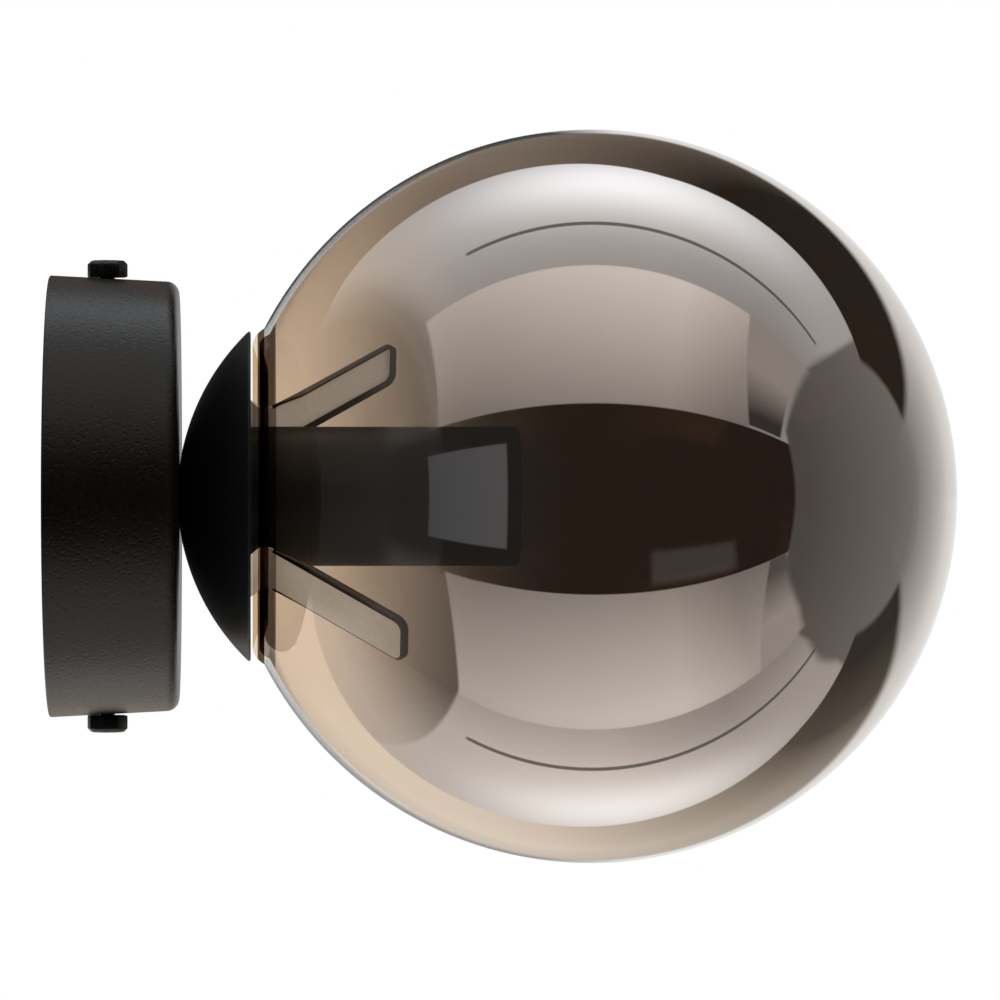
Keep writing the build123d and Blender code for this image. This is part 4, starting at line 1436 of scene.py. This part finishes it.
class Surroundings:
    """Brightness of the studio in each direction, as the ball mirrors it.

    Directions are degrees: side is 0 towards the viewer and grows to the right, rise is 0 level
    in front, 90 overhead and 180 level behind, and tilt is rise without its sign.
    """

    # the camera stands close, so the mirror opens a little wider than from far away
    DEGREES = 180 / math.pi * 1.035
    OPENING = (0.024, 0.0175)  # strength at its left and at its right
    OPENING_SIDE = (-30.0, -5.0)
    LOW_BOX = ((18.0, 45.0), (-29.0, -18.0), (1.5, 1.5))  # sides, rises, softness
    CARD = ((-53.0, -27.0), (-18.0, 18.0), (0.5, 0.5))
    LAMPS_LEFT = Climb(-40.0, 8.0, 0.84, 1.09)
    LAMPS_RIGHT = Climb(24.0, 44.0, 1.0, 0.62)
    LEFT_WALL_EDGE = (-47.0, -49.0)
    LEFT_WALL_FOOT = ((-30.0, -34.0), (-26.0, -30.0))  # by rise and by side
    LEFT_WALL_FRONT = Climb(24.0, 36.0, 0.04, 0.12)
    LEFT_WALL_BELOW = Climb(-122.0, -80.0, 0.66, 0.0)
    RIGHT_WALL_EDGE = 67.0
    RIGHT_WALL_BOW = 0.0045  # by the square of the tilt
    RIGHT_WALL_BELOW = Climb(-105.0, -66.0, 56.0, 61.3)
    RIGHT_WALL_BLUR = Climb(30.0, 60.0, 0.8, 1.6)
    RIGHT_WALL_LIGHT = Climb(-0.35, 0.5, 0.115, 0.255)
    RIGHT_WALL_ENDS = Climb(-1.0, 1.0, 58.5, 61.5)
    RIGHT_WALL_ENDS_TILT = (76.0, 80.0)
    RAILS = ((95.6, 97.2), (-28.0, 58.0))  # tilts and sides
    RAILS_COVER = 0.85
    RING_END = (62.5, 60.0)
    UPPER_RING_EDGE = Climb(-38.0, 12.0, 139.0, 128.0)
    UPPER_RING_LIGHT = (Climb(-10.0, 20.0, 0.27, 0.024), Climb(-46.0, -14.0, 0.55, 1.0))
    LOWER_RING_EDGE = Climb(-38.0, 40.0, -134.0, -124.0)
    LOWER_RING_LIGHT = (Climb(-35.0, 36.0, 1.62, 0.14), Climb(34.0, 54.0, 1.0, 0.35))
    LOWER_RING_DEPTH = Climb(-168.0, -150.0, 0.66, 1.0)
    BACK_END = (74.0, 58.0)
    UPPER_BACK_RISE = (163.0, 168.5)
    LOWER_BACK_RISE = (-165.5, -171.0)
    UPPER_BACK_LIGHT = (Climb(32.0, 64.0, 0.80, 0.28), Climb(-0.6, 2.2, 0.08, 1.0))
    LOWER_BACK_LIGHT = (Climb(32.0, 64.0, 0.84, 0.28), Climb(-1.0, 3.0, 0.42, 1.0))
    UPPER_BACK_SHIFT = Climb(0.0, 40.0, 0.0, 4.0)
    LOWER_BACK_SHIFT = Climb(0.0, 50.0, 0.0, 10.0)
    FAR_LEFT = (-62.0, -70.0)

    def __init__(self, net: Net, swing: float) -> None:
        """Work out side and rise of a direction.

        Args:
            net: The world's node tree.
            swing: Degrees by which the camera stands to the side.
        """
        self.net = net
        turned = net.add("ShaderNodeVectorRotate")
        turned.rotation_type = "Z_AXIS"
        net.feed(turned, "Vector", net.add("ShaderNodeTexCoord").outputs["Generated"])
        net.feed(turned, "Angle", -math.radians(swing))
        split = net.add("ShaderNodeSeparateXYZ")
        net.feed(split, "Vector", turned.outputs[0])
        self.x, self.y, self.z = (split.outputs[label] for label in "XYZ")
        front = net.times(self.y, -1.0)
        self.rise = net.times(net.maths("ARCTAN2", self.z, front), self.DEGREES)
        self.side = net.times(net.maths("ARCSINE", self.x), self.DEGREES)
        self.tilt = net.maths("ABSOLUTE", self.rise)
        self.room: bpy.types.NodeSocket | None = None

    def lay(self, strength: object, tone: Tone, mask: object) -> None:
        """Lay a tone over the room so far.

        Args:
            strength: Its strength, a socket or a number.
            tone: Its tint.
            mask: Where it shows.
        """
        self.room = self.net.over(self.room, self.net.scaled(tone.value, strength), mask)

    def climb(self, value: object, climb: Climb) -> bpy.types.NodeSocket:
        """The level of a climb at a value."""
        return self.net.slope(value, *climb)

    def by_side(self, climbs: Sequence[Climb]) -> bpy.types.NodeSocket:
        """The product of two climbs over the side."""
        return self.net.times(*(self.climb(self.side, climb) for climb in climbs))

    def spot(
        self, at_side: float, at_rise: float, wide: float, high: float
    ) -> bpy.types.NodeSocket:
        """A round falloff from one.

        Args:
            at_side: Side of its middle.
            at_rise: Rise of its middle.
            wide: Half width.
            high: Half height.

        Returns:
            The falloff's socket.
        """
        net = self.net
        u = net.maths("DIVIDE", net.maths("SUBTRACT", self.side, at_side), wide)
        v = net.maths("DIVIDE", net.maths("SUBTRACT", self.rise, at_rise), high)
        far = net.maths("ADD", net.times(u, u), net.times(v, v))
        return net.maths("EXPONENT", net.times(far, -1.0))

    def between(
        self, value: object, low: object, high: object, soft: float
    ) -> bpy.types.NodeSocket:
        """One between two limits, with soft sides.

        Args:
            value: What is measured.
            low: Lower limit, a socket or a number.
            high: Upper limit, a socket or a number.
            soft: Half width of each side.

        Returns:
            The mask's socket.
        """
        net = self.net
        up = net.ramp_range(net.maths("SUBTRACT", value, low), -soft, soft)
        down = net.ramp_range(net.maths("SUBTRACT", value, high), -soft, soft, 1.0, 0.0)
        return net.times(up, down)

    def box(self, sides: Sequence[object], rises: Point2, soft: Point2) -> bpy.types.NodeSocket:
        """One inside a box of side and rise.

        Args:
            sides: Left and right limit, sockets or numbers.
            rises: Lower and upper limit.
            soft: Softness of its sides, and of its bottom and top.

        Returns:
            The mask's socket.
        """
        return self.net.times(self.between(self.rise, *rises, soft[1]),
                              self.between(self.side, *sides, soft[0]))

    def opening(self) -> None:
        """Start with the dark opening in front, with a low box in it."""
        net, (left, right) = self.net, self.OPENING
        self.room = net.over(
            net.scaled(Tone.GREY.value, left), net.scaled(Tone.UMBER.value, right),
            net.ramp_range(self.side, *self.OPENING_SIDE),
        )
        self.lay(0.07, Tone.CREAM, self.box(*self.LOW_BOX))

    def left_wall(self) -> None:
        """Add the side wall on the left, dark in front, and the pale card that stands by it."""
        net = self.net
        light = net.maths("ADD", self.climb(self.tilt, self.LEFT_WALL_FRONT),
                          self.climb(self.rise, self.LEFT_WALL_BELOW))
        by_rise, by_side = self.LEFT_WALL_FOOT
        under = net.times(net.ramp_range(self.rise, *by_rise),
                          net.ramp_range(self.side, *by_side))
        far = net.maths("MAXIMUM", net.ramp_range(self.side, *self.LEFT_WALL_EDGE), under)
        self.lay(light, Tone.CREAM, far)
        self.lay(0.135, Tone.COOL, self.box(*self.CARD))

    def storey(self, storey: Storey, fall: bpy.types.NodeSocket) -> None:
        """Add a bright panel with what lies past it and beside it.

        Args:
            storey: Its places and strengths.
            fall: How the lamps' light falls off to the sides.
        """
        net = self.net
        ground = self.box(storey.sides, storey.span, (storey.side_soft, 0.4))
        light = net.times(self.climb(self.rise, storey.by_rise),
                          self.climb(self.side, storey.by_side))
        self.lay(light, storey.tone, ground)
        lamp = net.times(self.spot(*storey.lamp), ground)
        self.lay(storey.lamp_strength, storey.lamp_tone, lamp)
        left, right = self.climb(self.rise, storey.left), self.climb(self.rise, storey.right)
        light = net.times(self.climb(self.rise, storey.panel_light), fall)
        self.lay(light, Tone.CREAM, self.box((left, right), storey.panel, (0.5, 0.4)))
        gap = self.box((right, storey.gap_end), storey.gap, (0.5, 0.5))
        self.lay(self.climb(self.rise, storey.gap_light), Tone.CREAM, gap)

    def right_wall(self) -> None:
        """Add the side wall on the right; its corners at top and bottom are straight lines."""
        net = self.net
        edge = net.times(net.maths("POWER", self.tilt, 2.0), self.RIGHT_WALL_BOW)
        edge = net.maths("SUBTRACT", self.RIGHT_WALL_EDGE, edge)
        edge = net.maths("MAXIMUM", edge, self.climb(self.rise, self.RIGHT_WALL_BELOW))
        past = net.maths("DIVIDE", net.maths("SUBTRACT", self.side, edge),
                         self.climb(self.tilt, self.RIGHT_WALL_BLUR))
        lean = net.maths("ARCTAN2", self.x, net.maths("ABSOLUTE", self.z))
        lean = net.maths("SUBTRACT", net.times(lean, self.DEGREES),
                         self.climb(self.rise, self.RIGHT_WALL_ENDS))
        corner = net.times(net.ramp_range(lean, -0.9, 0.9),
                           net.ramp_range(self.tilt, *self.RIGHT_WALL_ENDS_TILT))
        mask = net.maths("MAXIMUM", corner, net.ramp_range(past, -1.0, 1.0))
        self.lay(self.climb(self.y, self.RIGHT_WALL_LIGHT), Tone.CREAM, mask)

    def rails(self) -> None:
        """Add the thin rails across the ceiling and the table."""
        tilts, sides = self.RAILS
        rails = self.net.times(self.between(self.tilt, *tilts, 0.3),
                               self.between(self.side, *sides, 0.5), self.RAILS_COVER)
        self.lay(0.09, Tone.GREY, rails)

    def behind(self) -> None:
        """Add the ring behind the object, dark above and paler below, and what lies past it."""
        net = self.net
        clear = net.ramp_range(self.side, *self.RING_END)
        past = net.maths("SUBTRACT", self.rise, self.climb(self.side, self.UPPER_RING_EDGE))
        mask = net.times(net.ramp_range(past, -0.5, 0.5), clear)
        self.lay(self.by_side(self.UPPER_RING_LIGHT), Tone.BROWN, mask)
        past = net.maths("SUBTRACT", self.climb(self.side, self.LOWER_RING_EDGE), self.rise)
        mask = net.times(net.ramp_range(past, -0.6, 0.6), clear)
        light = net.times(self.by_side(self.LOWER_RING_LIGHT),
                          self.climb(self.rise, self.LOWER_RING_DEPTH))
        self.lay(light, Tone.SAND, mask)
        clear = net.ramp_range(self.side, *self.BACK_END)
        past = net.maths("ADD", self.rise, self.climb(self.side, self.UPPER_BACK_SHIFT))
        mask = net.times(net.ramp_range(past, *self.UPPER_BACK_RISE), clear)
        self.lay(self.by_side(self.UPPER_BACK_LIGHT), Tone.GREY, mask)
        past = net.maths("SUBTRACT", self.rise, self.climb(self.side, self.LOWER_BACK_SHIFT))
        mask = net.times(net.ramp_range(past, *self.LOWER_BACK_RISE), clear)
        self.lay(self.by_side(self.LOWER_BACK_LIGHT), Tone.GREY, mask)

    def colour(self) -> bpy.types.NodeSocket:
        """Put the room together from front to back.

        Returns:
            Socket of the colour.
        """
        self.opening()
        self.left_wall()
        # the lamps stand a little right of the middle and leave both sides dimmer
        fall = self.by_side((self.LAMPS_LEFT, self.LAMPS_RIGHT))
        for storey in (UPPER, LOWER):
            self.storey(storey, fall)
        self.right_wall()
        self.rails()
        self.behind()
        # the far left is plain and dark, where all heights meet
        self.lay(0.05, Tone.GREY, self.net.ramp_range(self.side, *self.FAR_LEFT))
        return self.room


@dataclass
class Studio:
    """Camera, floor and the surroundings that the mirror shows."""

    target: tuple[float, float, float] = (0.1224, 0.0, -0.001)
    distance: float = 1.3
    swing: float = -3.0
    lens: float = 171.3
    fill: float = 0.55
    floor_z: float = -0.28
    floor_size: float = 1.6
    floor_grey: float = 0.85

    def camera(self) -> None:
        """Place the camera as the photograph has it."""
        data = bpy.data.cameras.new("view")
        data.lens, data.sensor_width = self.lens, 36.0
        camera = bpy.data.objects.new("view", data)
        bpy.context.collection.objects.link(camera)
        turn = math.radians(self.swing)
        back = Vector((math.sin(turn), -math.cos(turn), 0.0))
        camera.location = Vector(self.target) + back * self.distance
        camera.rotation_euler = (-back).to_track_quat("-Z", "Y").to_euler()
        bpy.context.scene.camera = camera

    def floor(self) -> None:
        """Lay a plain pale floor well under the object."""
        Bench.clear()
        bpy.ops.mesh.primitive_plane_add(
            size=self.floor_size, location=(self.target[0], 0, self.floor_z)
        )
        floor = bpy.context.object
        floor.name = "studio_floor"
        material, shader, net = Paint.start("floor_paper")
        grain = net.noise(net.add("ShaderNodeTexCoord").outputs["Object"], 60.0, 3.0, 0.5)
        tint = net.scaled((self.floor_grey,) * 3, net.ramp_range(grain, 0.3, 0.7, 0.97, 1.0))
        net.feed(shader, "Base Color", tint)
        net.feed(shader, "Roughness", 0.9)
        dress(floor, material)
        floor.visible_glossy = False

    def world(self) -> None:
        """Surround the object: white to the eye, a studio of panels to the mirror."""
        world = bpy.data.worlds.new("studio")
        bpy.context.scene.world = world
        world.use_nodes = True
        world.node_tree.nodes.clear()
        net = Net(world.node_tree)
        out = net.add("ShaderNodeOutputWorld")
        path = net.add("ShaderNodeLightPath")
        mirror = net.maths("GREATER_THAN", path.outputs["Glossy Depth"], 0.5)
        seen = net.maths(
            "MAXIMUM", path.outputs["Is Camera Ray"], path.outputs["Is Transmission Ray"]
        )
        plain = net.add("ShaderNodeBackground")
        net.feed(plain, "Color", net.over((self.fill,) * 3, (1.0, 1.0, 1.0), seen))
        shown = net.add("ShaderNodeBackground")
        net.feed(shown, "Color", Surroundings(net, self.swing).colour())
        mix = net.add("ShaderNodeMixShader")
        net.feed(mix, "Fac", mirror)
        net.link(plain.outputs[0], mix.inputs[1])
        net.link(shown.outputs[0], mix.inputs[2])
        net.link(mix.outputs[0], out.inputs["Surface"])
        world.cycles.sampling_method = "NONE"


def main() -> None:
    """Build every piece, dress it and set the stage."""
    logging.basicConfig(level=logging.INFO, format="%(name)s %(message)s")
    scene = bpy.context.scene
    scene.view_settings.view_transform = "Standard"
    studio = Studio()
    studio.camera()
    for maker in (Globe(), Canopy(), SideScrew(), Dish(), Sleeve(), SpringClip(), Fittings()):
        maker.build()
    studio.floor()
    studio.world()


if __name__ == "__main__":
    main()
